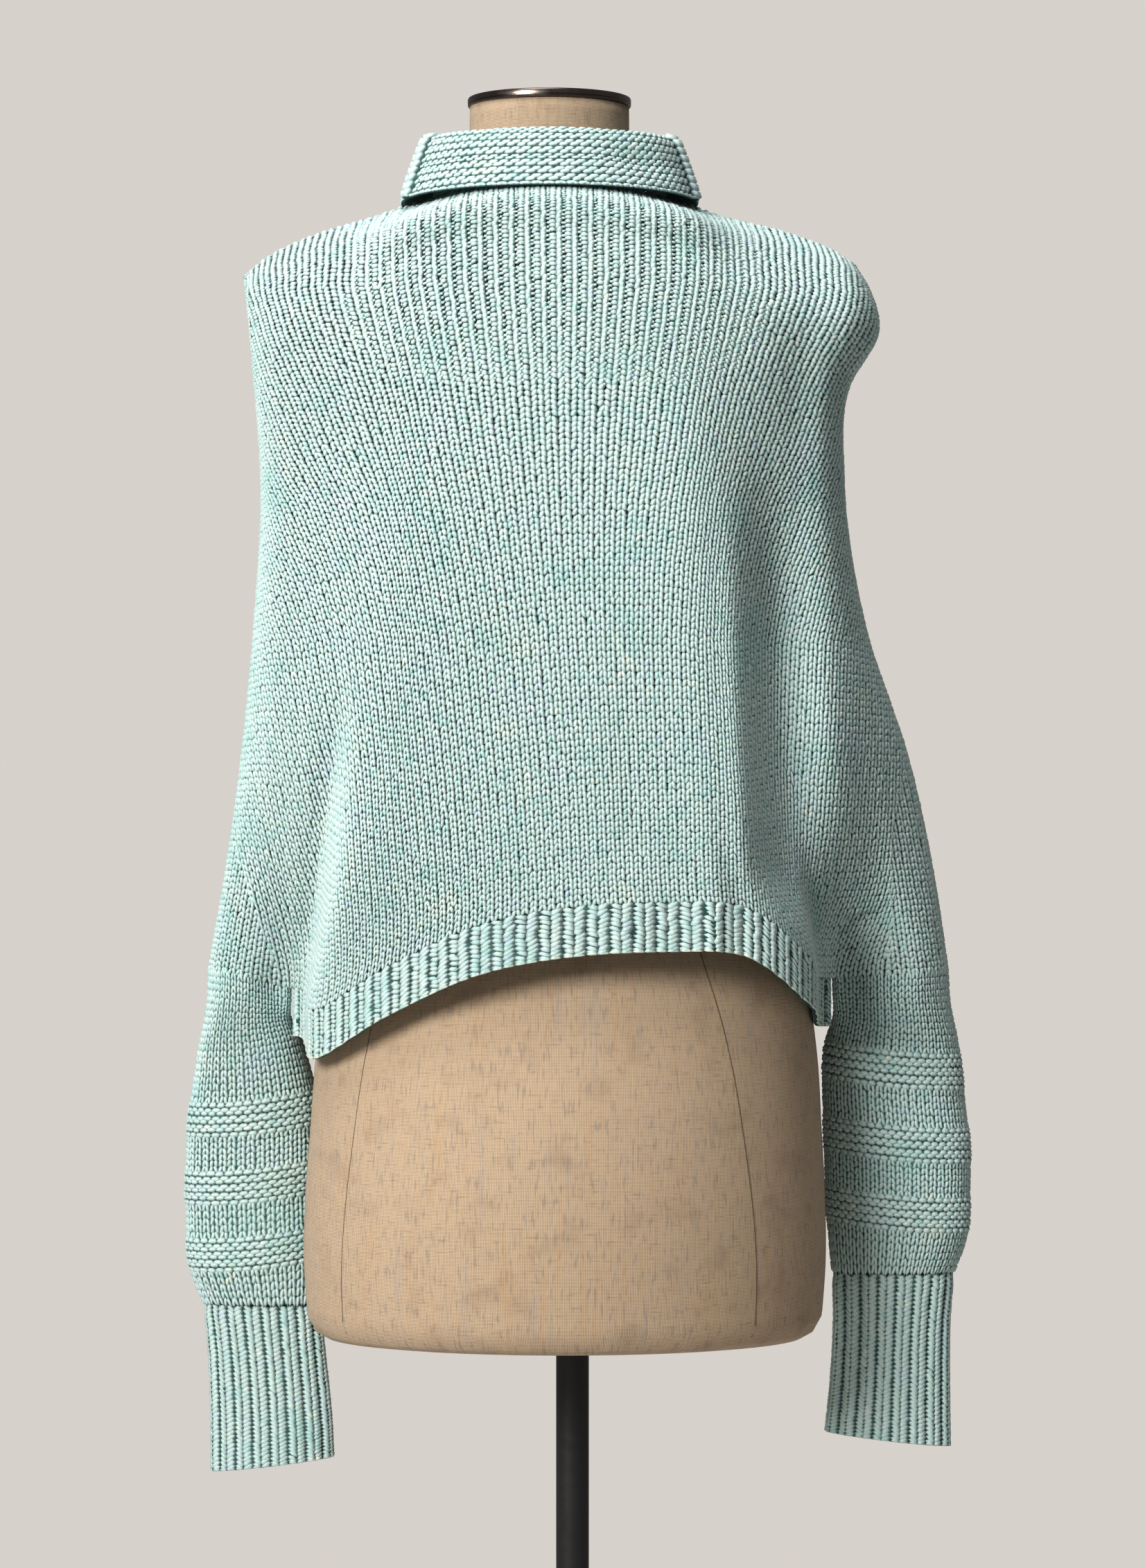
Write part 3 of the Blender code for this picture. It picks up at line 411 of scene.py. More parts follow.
def body_controls():
    """Control points of the closed loop (back then front) at every level, in metres."""
    x = np.array(BODY_X)
    edge = np.array(EDGE_Y)
    back = np.array(BACK_Y, float)
    front = np.array(FRONT_Y, float)
    rows = []
    for i, level in enumerate(LEVELS):
        y_back = np.concatenate([[edge[i, 0]], back[i], [edge[i, 1]]])
        z_back = np.array(BACK_TOP) + (np.array(BACK_END) - np.array(BACK_TOP)) * level
        z_front = np.array(FRONT_TOP) + (np.array(FRONT_END) - np.array(FRONT_TOP)) * level
        loop_back = np.stack([x[i], y_back, z_back], 1)
        loop_front = np.stack([x[i][1:-1], front[i], z_front[1:-1]], 1)[::-1]
        rows.append(np.concatenate([loop_back, loop_front]))
    return np.array(rows) * MM


BODY_LOOPS = body_controls()
LOOP = BODY_LOOPS.shape[1]


def fold_push(folds, x, z, side, start, rise):
    """How far folds move the cloth outwards at x, z (arrays, metres).

    start: how far above its upper end a fold leans on, rise: the share of its length over which it comes up."""
    push = np.zeros_like(x)
    for row in folds:
        fold = dict(zip(FOLD_COLUMNS, row))
        if fold["side"] != side:
            continue
        f = (fold["top_z"] * MM - z) / ((fold["top_z"] - fold["end_z"]) * MM)
        middle = fold["top_x"] + (fold["end_x"] - fold["top_x"]) * np.clip(f, start, 1.3)
        across = (x - middle * MM) / (fold["half_width"] * MM)
        push += smooth(f, *rise) * fold["out"] * MM * np.exp(-across * across)
    return push


def body_row(level, places):
    """Points of the body's outer face at one level. Places 0 to 14 are the back, 14 to 28 the front."""
    points = along(BODY_LOOPS, LEVELS, level)
    ahead = np.roll(points, -1, 0) - points
    length = np.linalg.norm(ahead, axis=1) + 1e-9
    heading = ahead / length[:, None]
    before, after = np.roll(length, 1)[:, None], length[:, None]
    tangent = (np.roll(heading, 1, 0) * after + heading * before) / (before + after)
    places = np.asarray(places, float)
    i = np.floor(places).astype(int) % LOOP
    j = (i + 1) % LOOP
    a, b, c, d = [v[:, None] for v in hermite(places - np.floor(places))]
    reach = length[i][:, None]
    row = a * points[i] + b * reach * tangent[i] + c * points[j] + d * reach * tangent[j]
    # The folds fade out over a column and a half before the third column from each side.
    ends = np.minimum(places % SPANS, SPANS - places % SPANS)
    ease = np.clip((ends - 3.0) / 1.5, 0.0, 1.0)
    side = np.where((places % LOOP) <= SPANS, -1, 1)
    for s in (-1, 1):
        push = fold_push(FOLDS, row[:, 0], row[:, 2], s, 0.0, (0.0, 1.0))
        row[:, 1] += np.where(side == s, s * ease * push, 0.0)
    return row


def grid_normals(grid, closed):
    """Outward normals of a grid of points: rows down, columns to the right as seen from outside."""
    down = np.gradient(grid, axis=0)
    if closed:
        across = (np.roll(grid, -1, 1) - np.roll(grid, 1, 1)) / 2
    else:
        across = np.gradient(grid, axis=1)
    return unit(np.cross(down, across))


# ---------------------------------------------------------------- meshes
def add_piece(name, points, faces, materials, face_slots=None, uv=None):
    """A smooth-shaded mesh that rides on the part's one body."""
    mesh = bpy.data.meshes.new(name)
    mesh.from_pydata(np.asarray(points, float).tolist(), [], faces)
    for material in materials:
        mesh.materials.append(material)
    if face_slots is not None:
        mesh.polygons.foreach_set("material_index", np.asarray(face_slots, np.int32))
    mesh.polygons.foreach_set("use_smooth", np.ones(len(mesh.polygons), bool))
    if uv is not None:
        layer = mesh.uv_layers.new(name=BAKE_MAP)
        layer.data.foreach_set("uv", np.ascontiguousarray(uv, np.float32).ravel())
    mesh.update()
    thing = bpy.data.objects.new(name, mesh)
    bpy.context.scene.collection.objects.link(thing)
    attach(thing, BODY)
    return thing


def skin_quads(rows, columns, closed, first):
    """Faces of a grid of points that starts at point first, closed right round or not."""
    r, c = np.meshgrid(np.arange(rows - 1), np.arange(columns if closed else columns - 1), indexing="ij")
    r, c = r.ravel(), c.ravel()
    d = (c + 1) % columns
    return np.stack([first + r * columns + c, first + (r + 1) * columns + c,
                     first + (r + 1) * columns + d, first + r * columns + d], 1)


def capped(rings):
    """Points and faces of rings one below the other, closed by a fan at the top and at the bottom.

    The middles of the fans are the last two points."""
    rows, sides = rings.shape[:2]
    faces = skin_quads(rows, sides, True, 0).tolist()
    for k in range(sides):
        d = (k + 1) % sides
        faces.append([rows * sides, k, d])
        faces.append([rows * sides + 1, (rows - 1) * sides + d, (rows - 1) * sides + k])
    return np.concatenate([rings.reshape(-1, 3), rings[:1].mean(1), rings[-1:].mean(1)]), faces


def round_the_seam(u):
    """The same map positions, a row per four-cornered face, with faces over the map's seam kept whole."""
    wrap = u.max(1) - u.min(1) > 0.5
    u[wrap] = np.where(u[wrap] < 0.5, u[wrap] + 1.0, u[wrap])
    return u.ravel()


def outward_faces(thing):
    """Turns all faces of closed bodies outwards."""
    work = bmesh.new()
    work.from_mesh(thing.data)
    bmesh.ops.recalc_face_normals(work, faces=work.faces[:])
    work.to_mesh(thing.data)
    work.free()


def in_place_of(node):
    """Hides the solid that a piece stands in for."""
    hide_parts(node)


def cloth_shell(name, outer, inner, closed, materials):
    """A closed thin solid: the ground outside, painted near black as the shade between the stitches, and the cloth's
    wrong side inside, a darker copy of the yarn painted as shade.
    """
    rows, columns = outer.shape[:2]
    far = rows * columns
    low = far - columns
    points = np.concatenate([outer.reshape(-1, 3), inner.reshape(-1, 3)])
    faces = skin_quads(rows, columns, closed, 0).tolist()
    faces += skin_quads(rows, columns, closed, far)[:, ::-1].tolist()
    skins = len(faces)
    if closed:
        for c in range(columns):
            d = (c + 1) % columns
            faces.append([c, d, far + d, far + c])
            faces.append([low + d, low + c, far + low + c, far + low + d])
    else:
        rim = [r * columns for r in range(rows)]
        rim += [low + c for c in range(1, columns)]
        rim += [r * columns + columns - 1 for r in range(rows - 2, -1, -1)]
        rim += list(range(columns - 2, 0, -1))
        for k, a in enumerate(rim):
            b = rim[(k + 1) % len(rim)]
            faces.append([b, a, far + a, far + b])
    # Outside faces take the ground painted as shade between the stitches; inside faces take the yarn's darker shaded
    # copy.
    slots = np.zeros(len(faces), int)
    slots[skins // 2:skins] = 1
    # Map: the outside in the left half, the inside in the right one.
    flat = np.array([v for face in faces for v in face])
    local = flat % far
    u = (local % columns) / columns
    v = 1.0 - (local // columns) / (rows - 1)
    if closed:
        u = round_the_seam(u.reshape(-1, 4))
    u = 0.004 + 0.49 * u + np.where(flat >= far, 0.5, 0.0)
    rim_loops = np.arange(len(flat)) >= skins * 4
    v = 0.01 + 0.98 * np.where(rim_loops, np.round(v, 3), v)
    return add_piece(name, points, faces, [materials["ground"], materials["inside"]], slots, np.stack([u, v], 1))


# ---------------------------------------------------------------- stitches
class Field:
    """Cloth laid out in stitches: column w counts stitches to the right, row c counts rows down."""

    def __init__(self, points, normals, valid, w_first, w_step, c_step, above=0, below=0):
        """above and below: rows of samples to run on past the first and the last."""
        up = points[:1] + (points[:1] - points[1:2]) * np.arange(above, 0, -1)[:, None, None]
        down = points[-1:] + (points[-1:] - points[-2:-1]) * np.arange(1, below + 1)[:, None, None]
        self.points = np.concatenate([up, points, down])
        self.normals = np.concatenate([normals[:1]] * above + [normals] + [normals[-1:]] * below)
        self.valid = np.concatenate([valid[:1]] * above + [valid] + [valid[-1:]] * below)
        self.above = above
        self.w_first = w_first
        self.w_step = w_step
        self.c_step = c_step

    def locate(self, w, c):
        """Sample row and column before a place, and how far past them it lies."""
        x = np.clip((w - self.w_first) / self.w_step, 0, self.points.shape[1] - 1.001)
        y = np.clip(c / self.c_step + self.above, 0, self.points.shape[0] - 1.001)
        i, j = np.floor(y).astype(int), np.floor(x).astype(int)
        return i, j, (y - i)[..., None], (x - j)[..., None]

    def blend(self, values, place):
        """The values at a place between four samples."""
        i, j, fy, fx = place
        upper = values[i, j] * (1 - fx) + values[i, j + 1] * fx
        lower = values[i + 1, j] * (1 - fx) + values[i + 1, j + 1] * fx
        return upper * (1 - fy) + lower * fy

    def at(self, w, c, height):
        """The point at so much height over a place."""
        place = self.locate(w, c)
        return self.blend(self.points, place) + unit(self.blend(self.normals, place)) * height[..., None]

    def holds(self, w, c):
        """Whether a place lies on valid cloth."""
        i, j, _, _ = self.locate(w, c)
        inside = (w >= self.w_first) & (w <= self.w_first + self.w_step * (self.points.shape[1] - 1))
        return inside & self.valid[i, j] & self.valid[i, j + 1] & self.valid[i + 1, j] & self.valid[i + 1, j + 1]


# One stitch half is a small hump with two ends and two cross rows of three points between them.
LOBE_PLACE = np.array([-1.0, -0.44, 0.44, 1.0])   # along its run
LOBE_WIDTH = np.array([0.0, 0.96, 0.96, 0.0])     # as a share of its half width
LOBE_RISE = np.array([-0.22, 0.97, 0.97, -0.22])  # as a share of its height
LOBE_FOOT = -0.10                                 # the same, at both sides
LOBE_FACES = ((0, 1, 2), (0, 2, 3), (1, 4, 5, 2), (2, 5, 6, 3), (4, 7, 5), (5, 7, 6),
              (0, 3, 1), (1, 3, 6, 4), (4, 6, 7))
LOBE_POINTS = 8
LOBE_TOP_FACES = 6
LOBE_COLUMNS = ("w", "c", "run_w", "run_c", "half_w", "half_c", "bend_w", "bend_c", "height")


def lobes(**given):
    """Rows of one stitch half each: middle, half run, half width, bend (in stitches and rows), height."""
    count = len(given["w"])
    return np.stack([np.broadcast_to(np.asarray(given.get(k, 0.0), float), count) for k in LOBE_COLUMNS], 1)


def loosen(rows, rng, amount):
    """Strays from the grid by a share of a stitch."""
    rows = rows.copy()
    rows[:, 0] += rng.normal(0, amount * 0.5, len(rows))
    rows[:, 1] += rng.normal(0, amount, len(rows))
    rows[:, 2] += rng.normal(0, amount * 0.6, len(rows))
    rows[:, 8] *= 1 + rng.normal(0, amount * 1.6, len(rows))
    return rows


def stitch_piece(name, layers, material):
    """One mesh of small yarn humps from several (field, lobe rows) layers."""
    points, maps = [], []
    for k, (field, rows) in enumerate(layers):
        w, c, run_w, run_c, half_w, half_c, bend_w, bend_c, height = rows.T
        spots_w = [w - run_w]
        spots_c = [c - run_c]
        rises = [height * LOBE_RISE[0]]
        for f, width, rise in list(zip(LOBE_PLACE, LOBE_WIDTH, LOBE_RISE))[1:3]:
            arch = 1 - f * f
            for side in (-1, 0, 1):
                spots_w.append(w + f * run_w + bend_w * arch + side * half_w * width)
                spots_c.append(c + f * run_c + bend_c * arch + side * half_c * width)
                rises.append(height * (LOBE_FOOT if side else rise))
        spots_w.append(w + run_w)
        spots_c.append(c + run_c)
        rises.append(height * LOBE_RISE[3])
        spots_w, spots_c, rises = np.stack(spots_w, 1), np.stack(spots_c, 1), np.stack(rises, 1)
        points.append(field.at(spots_w, spots_c, rises).reshape(-1, 3))
        span_w = field.points.shape[1] * field.w_step
        span_c = field.points.shape[0] * field.c_step
        uv = np.stack([(spots_w - field.w_first) / span_w, 1 - spots_c / span_c], 2).reshape(-1, 2)
        maps.append(np.clip((uv + (k, 0)) / (len(layers), 1), 0.001, 0.999))
    points, uv = np.concatenate(points), np.concatenate(maps)
    base = np.arange(0, len(points), LOBE_POINTS)
    polygons = [[start + v for v in face] for start in base.tolist() for face in LOBE_FACES]
    # The hump's underside takes one place of the map, since nobody sees it.
    top = np.array([v for face in LOBE_FACES[:LOBE_TOP_FACES] for v in face])
    under = sum(len(face) for face in LOBE_FACES[LOBE_TOP_FACES:])
    picked = uv[base[:, None] + top[None, :]]
    tucked = np.repeat(uv[base][:, None, :], under, 1)
    loop_uv = np.concatenate([picked, tucked], 1)
    thing = add_piece(name, points, polygons, [material], uv=loop_uv.reshape(-1, 2))
    return thing


def plain_stitches(field, columns, courses, stretch, yarn, rng, keep=None):
    """Both halves of every plain stitch. With stretch, those over the shoulders are pulled apart."""
    relief = yarn.relief
    k, j = np.meshgrid(columns, courses, indexing="ij")
    k, j = k.ravel() + 0.5, j.ravel() + 0.5
    pull = np.zeros(len(k))
    if stretch:
        spot = field.at(k, j, pull)
        beside_neck = smooth(np.abs(spot[:, 0] - NECK_X), 0.08, 0.15)
        pull = smooth(spot[:, 2], STRETCH_FROM, STRETCH_FULL) * (1 - 0.8 * beside_neck)
    # Left halves turn into short lying beads and right halves into smooth cords where the cloth is stretched.
    left = lobes(w=k - 0.245 + 0.035 * pull, c=j, run_w=0.115 + 0.085 * pull, run_c=0.80 - 0.36 * pull,
                 half_w=0.268 - 0.06 * pull, half_c=-0.42 * pull, bend_w=-0.02,
                 height=relief * (1 + 0.08 * pull))
    right = lobes(w=k + 0.245 - 0.075 * pull, c=j, run_w=-0.115 + 0.085 * pull, run_c=0.80 + 0.25 * pull,
                  half_w=0.268 - 0.045 * pull, bend_w=0.02 - 0.02 * pull, height=relief * (1 + 0.10 * pull))
    layers = [left, right]
    # Where it is stretched, the yarn between two wales shows as a ladder.
    open_ = pull > 0.25
    if open_.any():
        layers.append(lobes(w=k[open_] + 0.475, c=j[open_] + 0.45, run_w=0.17, half_c=-0.36,
                            height=relief * 0.75))
    rows = loosen(np.concatenate(layers), rng, yarn.unevenness)
    ok = field.holds(rows[:, 0] - 0.16, rows[:, 1]) & field.holds(rows[:, 0] + 0.16, rows[:, 1])
    if keep is not None:
        ok &= keep(rows[:, 0], rows[:, 1])
    return rows[ok]


def purl_bumps(w_first, w_last, c_first, c_last, relief, rng, unevenness, slant=0.0, run=0.60):
    """Rows of short arcs in brick order, as reverse knitting shows."""
    rows = []
    for r in range(int(round(c_last - c_first))):
        w = np.arange(w_first, w_last - 1e-6, 1.0) + (0.25 if r % 2 else 0.75)
        up = 1 if r % 2 else -1
        rows.append(lobes(w=w, c=np.full(len(w), c_first + r + 0.5), run_w=run, run_c=slant,
                          half_c=-0.76, bend_c=0.18 * up, height=relief))
    return loosen(np.concatenate(rows), rng, unevenness)


# ---------------------------------------------------------------- body
def from_table(rows, at, column=1):
    """Value of a table's column in metres, at a value of its first column."""
    rows = np.array(rows, float)
    return np.interp(at, rows[:, 0], rows[:, column]) * MM


def stitch_width(z):
    """Width of a stitch at a height."""
    return from_table(STITCH_WIDTH, z / MM)


def body_levels():
    """Levels of every half row of knitting, spaced by the gauge along the cloth."""
    level = np.linspace(0.0, 1.0, LEVEL_SAMPLES)
    picks = [along(BODY_LOOPS[:, LEVEL_COLUMNS], LEVELS, t) for t in level]
    step = np.linalg.norm(np.diff(np.array(picks), axis=0), axis=2).mean(1)
    height = from_table(ROW_HEIGHT, (level[1:] + level[:-1]) / 2)
    count = np.concatenate([[0.0], np.cumsum(step / height)])
    rows = int(count[-1])
    return np.interp(np.arange(rows * 2 + 1) * HALF * count[-1] / rows, count, level), rows


def press_creases(grid, levels, side):
    """Deepens the valleys beside the sleeves' folds and sharpens their crests."""
    fade = (smooth(levels, 0.20, 0.45) * (1 - smooth(levels, 0.90, 0.99)))[:, None]
    for row in CREASES:
        push = fold_push([row], grid[:, :, 0], grid[:, :, 2], side, -0.2, (-0.1, 0.5))
        grid[:, :, 1] += side * fade * push * (side * grid[:, :, 1] > 0)
    return grid


def evened(values):
    """The values averaged over neighbouring rows, so that the wales run on without kinks."""
    last = len(values) - 1
    spread = np.arange(-EVEN_ROWS, EVEN_ROWS + 1)
    weight = np.exp(-(spread / EVEN_WIDTH) ** 2)
    at = np.abs(np.arange(last + 1)[:, None] + spread[None, :])
    at = np.where(at > last, 2 * last - at, at)
    return (values[at] * weight[None, :, None]).sum(1) / weight.sum()


def body_half(side):
    """Dense outer face of the back (side -1) or the front (1) at every half row.

    Gives levels, rows, points, the middle between the two layers, normals and lengths along each row."""
    levels, rows = body_levels()
    places = (0 if side < 0 else SPANS) + np.linspace(0.0, SPANS, SPANS * FINE + 1)
    plain = np.array([body_row(t, places) for t in levels])
    behind = np.array([body_row(t, (LOOP - places) % LOOP) for t in levels])
    core = (plain + behind) / 2
    grid = press_creases(plain.copy(), levels, side)
    # A pressed crease stops short of the other layer.
    depth = np.minimum(side * plain[:, :, 1], side * core[:, :, 1] + FOLD_CLEAR)
    grid[:, :, 1] = side * np.maximum(side * grid[:, :, 1], depth)
    # Depth counts less than width here, so the wales don't crowd into the creases.
    step = evened(np.linalg.norm(np.diff(grid, axis=1) * (1, 0.6, 1), axis=2))
    arcs = np.concatenate([np.zeros((len(levels), 1)), np.cumsum(step, axis=1)], 1)
    return levels, rows, grid, core, grid_normals(grid, False), arcs


def laid_out(grid, normals, arcs, w, origin, width=None):
    """Samples every row at even stitches w from origin (a length along the row).

    The stitches are width wide, or as wide as the height asks for."""
    points = np.empty((len(grid), len(w), 3))
    facing = np.empty_like(points)
    valid = np.empty((len(grid), len(w)), bool)
    along_row = np.empty((len(grid), len(w)))
    for r in range(len(grid)):
        if width is None:
            # The width depends on the height there, so it closes in on its place.
            at = origin[r] + w * stitch_width(grid[r, MIDDLE, 2])
            for _ in range(6):
                at = origin[r] + w * stitch_width(np.interp(at, arcs[r], grid[r, :, 2]))
        else:
            at = origin[r] + w * width
        along_row[r] = at
        for k in range(3):
            points[r, :, k] = np.interp(at, arcs[r], grid[r, :, k])
            facing[r, :, k] = np.interp(at, arcs[r], normals[r, :, k])
        valid[r] = (at >= END_MARGIN) & (at <= arcs[r, -1] - END_MARGIN)
    return points, facing, valid, along_row


def side_wales(side, back, front, yarn, materials):
    """The two wales that run down a side (-1 left, 1 right), where the back meets the front."""
    ends = []
    for grid, at_start in ((back, side < 0), (front, side > 0)):
        strip = (grid if at_start else grid[:, ::-1])[:, :10]
        ends.append(np.array([[[np.interp(offset, run_length(line), line[:, k]) for k in range(3)]
                               for offset in (SIDE_REACH, SIDE_REACH / 2, 0.0)] for line in strip]))
    first, last = ends[::side]
    points = np.concatenate([first, last[:, ::-1][:, 1:]], 1)
    facing = np.zeros_like(points)
    facing[:, :, 0] = side
    facing[:, :, 1] = (points[:, :, 1] - points[:, 2:3, 1]) / (1.2 * SIDE_REACH)
    facing = unit(facing)
    field = Field(points - facing * GROUND_SINK, facing, np.ones(points.shape[:2], bool), 0.0, HALF, HALF, 0, 2)
    rows = plain_stitches(field, np.arange(2), np.arange(len(back) // 2), False, yarn,
                          np.random.default_rng(61 + side))
    return stitch_piece(f"stitches_side_{'left' if side < 0 else 'right'}", [(field, rows)], materials["yarn"])


def sideways_edges(grid, normals, arcs):
    """Normals that turn to face sideways at the outer edges, as the stitches there do."""
    from_edge = np.minimum(arcs, arcs[:, -1:] - arcs)
    turn_out = 1.2 * np.clip(1 - from_edge / TURN_REACH, 0, 1)
    sideways = np.sign(grid[:, :, :1] - grid[:, MIDDLE:MIDDLE + 1, :1]) * (1.0, 0, 0)
    return unit(normals + turn_out[:, :, None] * sideways)


def body_stitches(name, half, yarn, materials, rng):
    """The stitches of one half, in a left and a right piece.

    Most fan out from the middle. Above the sleeves the sleeves' own upright stitches run on up the body."""
    levels, rows, grid, _, normals, arcs = half
    ground = grid - normals * GROUND_SINK
    facing = sideways_edges(grid, normals, arcs)
    courses = np.arange(rows)
    w = np.arange(-FAN_STITCHES, FAN_STITCHES + HALF, HALF)
    points, turned_out, valid, along_row = laid_out(ground, facing, arcs, w, arcs[:, MIDDLE])
    fan = Field(points, turned_out, valid, w[0], HALF, HALF, 0, 2)
    left_reach, right_reach = [from_table(FASHION_LINE, levels, k) for k in ((1, 2) if name == "back" else (2, 1))]
    left_w = np.array([np.interp(at, row, w) for at, row in zip(left_reach, along_row)])
    right_w = np.array([np.interp(at, row, w) for at, row in zip(arcs[:, -1] - right_reach, along_row)])

    def in_fan(a, c):
        r = np.clip(c / HALF, 0, len(levels) - 1)
        return ((a > np.interp(r, np.arange(len(levels)), left_w) - 0.2)
                & (a < np.interp(r, np.arange(len(levels)), right_w) + 0.2))

    fan_rows = plain_stitches(fan, np.arange(-FAN_STITCHES, FAN_STITCHES), courses, True, yarn, rng, in_fan)
    pieces = []
    for label, first, start, reach in (("left", 0, np.zeros(len(levels)), left_reach),
                                       ("right", -UPRIGHT_STITCHES, arcs[:, -1], right_reach)):
        w_up = first + np.arange(UPRIGHT_STITCHES * 2 + 1) * HALF
        points, turned_out, valid, _ = laid_out(ground, facing, arcs, w_up, start, SLEEVE_STITCH * MM)
        valid &= np.abs(w_up[None, :]) * SLEEVE_STITCH * MM <= reach[:, None] + UPRIGHT_MARGIN
        field = Field(points, turned_out, valid, w_up[0], HALF, HALF, 0, 2)
        upright = plain_stitches(field, first + np.arange(UPRIGHT_STITCHES), courses, False, yarn, rng)
        pieces.append([label, field, upright])
    made = []
    for label, field, upright in pieces:
        own = (fan_rows[:, 0] < 0) == (label == "left")
        layers = [(fan, fan_rows[own])] + ([(field, upright)] if len(upright) else [])
        made.append(stitch_piece(f"stitches_{name}_{label}", layers, materials["yarn"]))
    return made


def body_cloth(name, side, half, materials):
    """The ground cloth of one half, its outside painted as the shade between the stitches; hides the solid it stands
    for.
    """
    levels, _, grid, core, normals, _ = half
    keep = np.unique(np.concatenate([np.arange(0, len(levels), 4), [len(levels) - 1]]))
    coarse = np.ix_(keep, np.arange(0, grid.shape[1], 2))
    outer = (grid - normals * (GROUND_SINK + SHELL_SINK))[coarse]
    thick = np.full(outer.shape[1], WALL - GROUND_SINK)
    thick[[0, 1, -2, -1]] *= 0.5
    inner = outer - normals[coarse] * thick[None, :, None]
    floor = side * core[coarse][:, :, 1] + SEAM_GAP / 2
    for skin in (outer, inner):
        skin[:, :, 1] = side * np.maximum(side * skin[:, :, 1], floor)
    shell = cloth_shell(f"cloth_{name}", outer, inner, False, materials)
    in_place_of(f"body_{name}")


def build_body(yarn, materials):
    """Ground cloth and stitches of the back and the front."""
    halves = {side: body_half(side) for side in (-1, 1)}
    wales = {side: side_wales(side, halves[-1][2], halves[1][2], yarn, materials) for side in (-1, 1)}
    for name, side, seed in (("back", -1, 11), ("front", 1, 23)):
        pieces = body_stitches(name, halves[side], yarn, materials, np.random.default_rng(seed))
        body_cloth(name, side, halves[side], materials)


# ---------------------------------------------------------------- tubes
def ellipse_ring(row, count, columns):
    """Points round one level of a sleeve or cuff, from the outer side by the back to the inner one."""
    level = dict(zip(columns, row))
    middle = (level["outer"] + level["inner"]) / 2
    half = (level["outer"] - level["inner"]) / 2
    turn = 2 * math.pi * np.arange(count) / count
    return np.stack([(middle + half * np.cos(turn)) * MM,
                     (level["centre"] - level["half_depth"] * np.sin(turn)) * MM,
                     np.full(count, level["height"] * MM)], 1)


def even_ring(points, count):
    """Resamples a closed line of points at even spacing."""
    loop = np.concatenate([points, points[:1]])
    length = run_length(loop)
    at = np.arange(count) * length[-1] / count
    return np.stack([np.interp(at, length, loop[:, k]) for k in range(3)], 1)


def half_ring_cap(a, b, turn):
    """A small half round from a to b, for the turn of a tube under the arm."""
    angle = math.pi * np.arange(1, 8)[:, None] / 8
    line = (a + b) / 2 - (b - a) / 2 * np.cos(angle)
    line[:, 0] = (a[0] + b[0]) / 2 + turn * np.sin(angle[:, 0])
    return line


def underarm_ring(left):
    """The body's lower edge where a sleeve goes on."""
    fine = np.linspace(0.0, 2.0, 33)
    if left:
        back, front, turn = body_row(1.0, fine), body_row(1.0, LOOP - fine[1:]), 3.0 * MM
    else:
        back, front, turn = body_row(1.0, SPANS - fine), body_row(1.0, SPANS + fine[1:]), -3.0 * MM
    return np.concatenate([back, half_ring_cap(back[-1], front[-1], turn), front[::-1]])


def outward(ring):
    """Level normals of a closed line that point away from its middle."""
    ahead = np.roll(ring, -1, 0) - np.roll(ring, 1, 0)
    normal = unit(np.stack([ahead[:, 1], -ahead[:, 0], np.zeros(len(ring))], 1))
    return normal if ((ring - ring.mean(0)) * normal).sum() > 0 else -normal


def anticlockwise(ring):
    """The same ring, turned round if it runs clockwise as seen from above."""
    x, y = ring[:, 0], ring[:, 1]
    return ring if (x * np.roll(y, -1) - np.roll(x, -1) * y).sum() > 0 else ring[::-1]


def inward(ring):
    """0 at the ring's first point, on the outer side, to 1 at the inner side."""
    return (ring[:, 0] - ring[0, 0]) / (ring[len(ring) // 2, 0] - ring[0, 0])


def sleeve_ring(table, top, height, count):
    """Outer ring of a lower sleeve at a height (mm), blended from the body's lower edge."""
    heights = [row[0] for row in table][::-1]
    row = along(np.array(table)[::-1], heights, height)
    ring = even_ring(ellipse_ring(row, 160, SLEEVE_COLUMNS), count)
    blend = float(smooth((heights[-1] - height) / 55.0, 0.0, 1.0))
    mixed = top * (1 - blend) + ring * blend
    mixed[:, 2] = height * MM + (top[:, 2] - heights[-1] * MM) * (1 - blend)
    calm = min(max((height - heights[0]) / 20.0, 0.0), 1.0)
    mixed[:, 2] += BAND_LIFT * MM * blend * calm * inward(mixed)**2
    return mixed


def tube_field(points, normals, w_step, below):
    """Field of a tube, two samples per row. Its first columns come again at the end, to close it."""
    points, normals = [np.concatenate([values, values[:, :5]], 1) for values in (points, normals)]
    return Field(points, normals, np.ones(points.shape[:2], bool), 0.0, w_step, HALF, 2, below)


def tube_shell(part, node, rings, raised, every, wall, materials):
    """Ground cloth of a tube, its outside painted as the shade between the stitches; hides the solid it stands for.
    every: which points of each ring it uses.
    """
    coarse = rings[::2, ::every]
    normals = grid_normals(coarse, True)
    outer = coarse + normals * (raised[::2, ::every] - GROUND_SINK)[:, :, None]
    shell = cloth_shell(f"cloth_{part}", outer, coarse - normals * wall, True, materials)
    in_place_of(node)


def sleeve_zones(table, bands):
    """Heights of every half row down a sleeve, and its zones: whether a band, first row, last row."""
    marks = [table[0][0] - 0.8] + [height for band in bands for height in band] + [table[-1][0] + 0.4]
    heights, zones, row = [], [], 0.0
    for k, (high, low) in enumerate(zip(marks, marks[1:])):
        band = k % 2 == 1
        rows = BAND_ROWS if band else max(1, round((high - low) / SLEEVE_ROW))
        heights += list(np.linspace(high, low, rows * 2 + 1)[:-1])
        zones.append((band, row, row + rows))
        row += rows
    return heights + [marks[-1]], zones


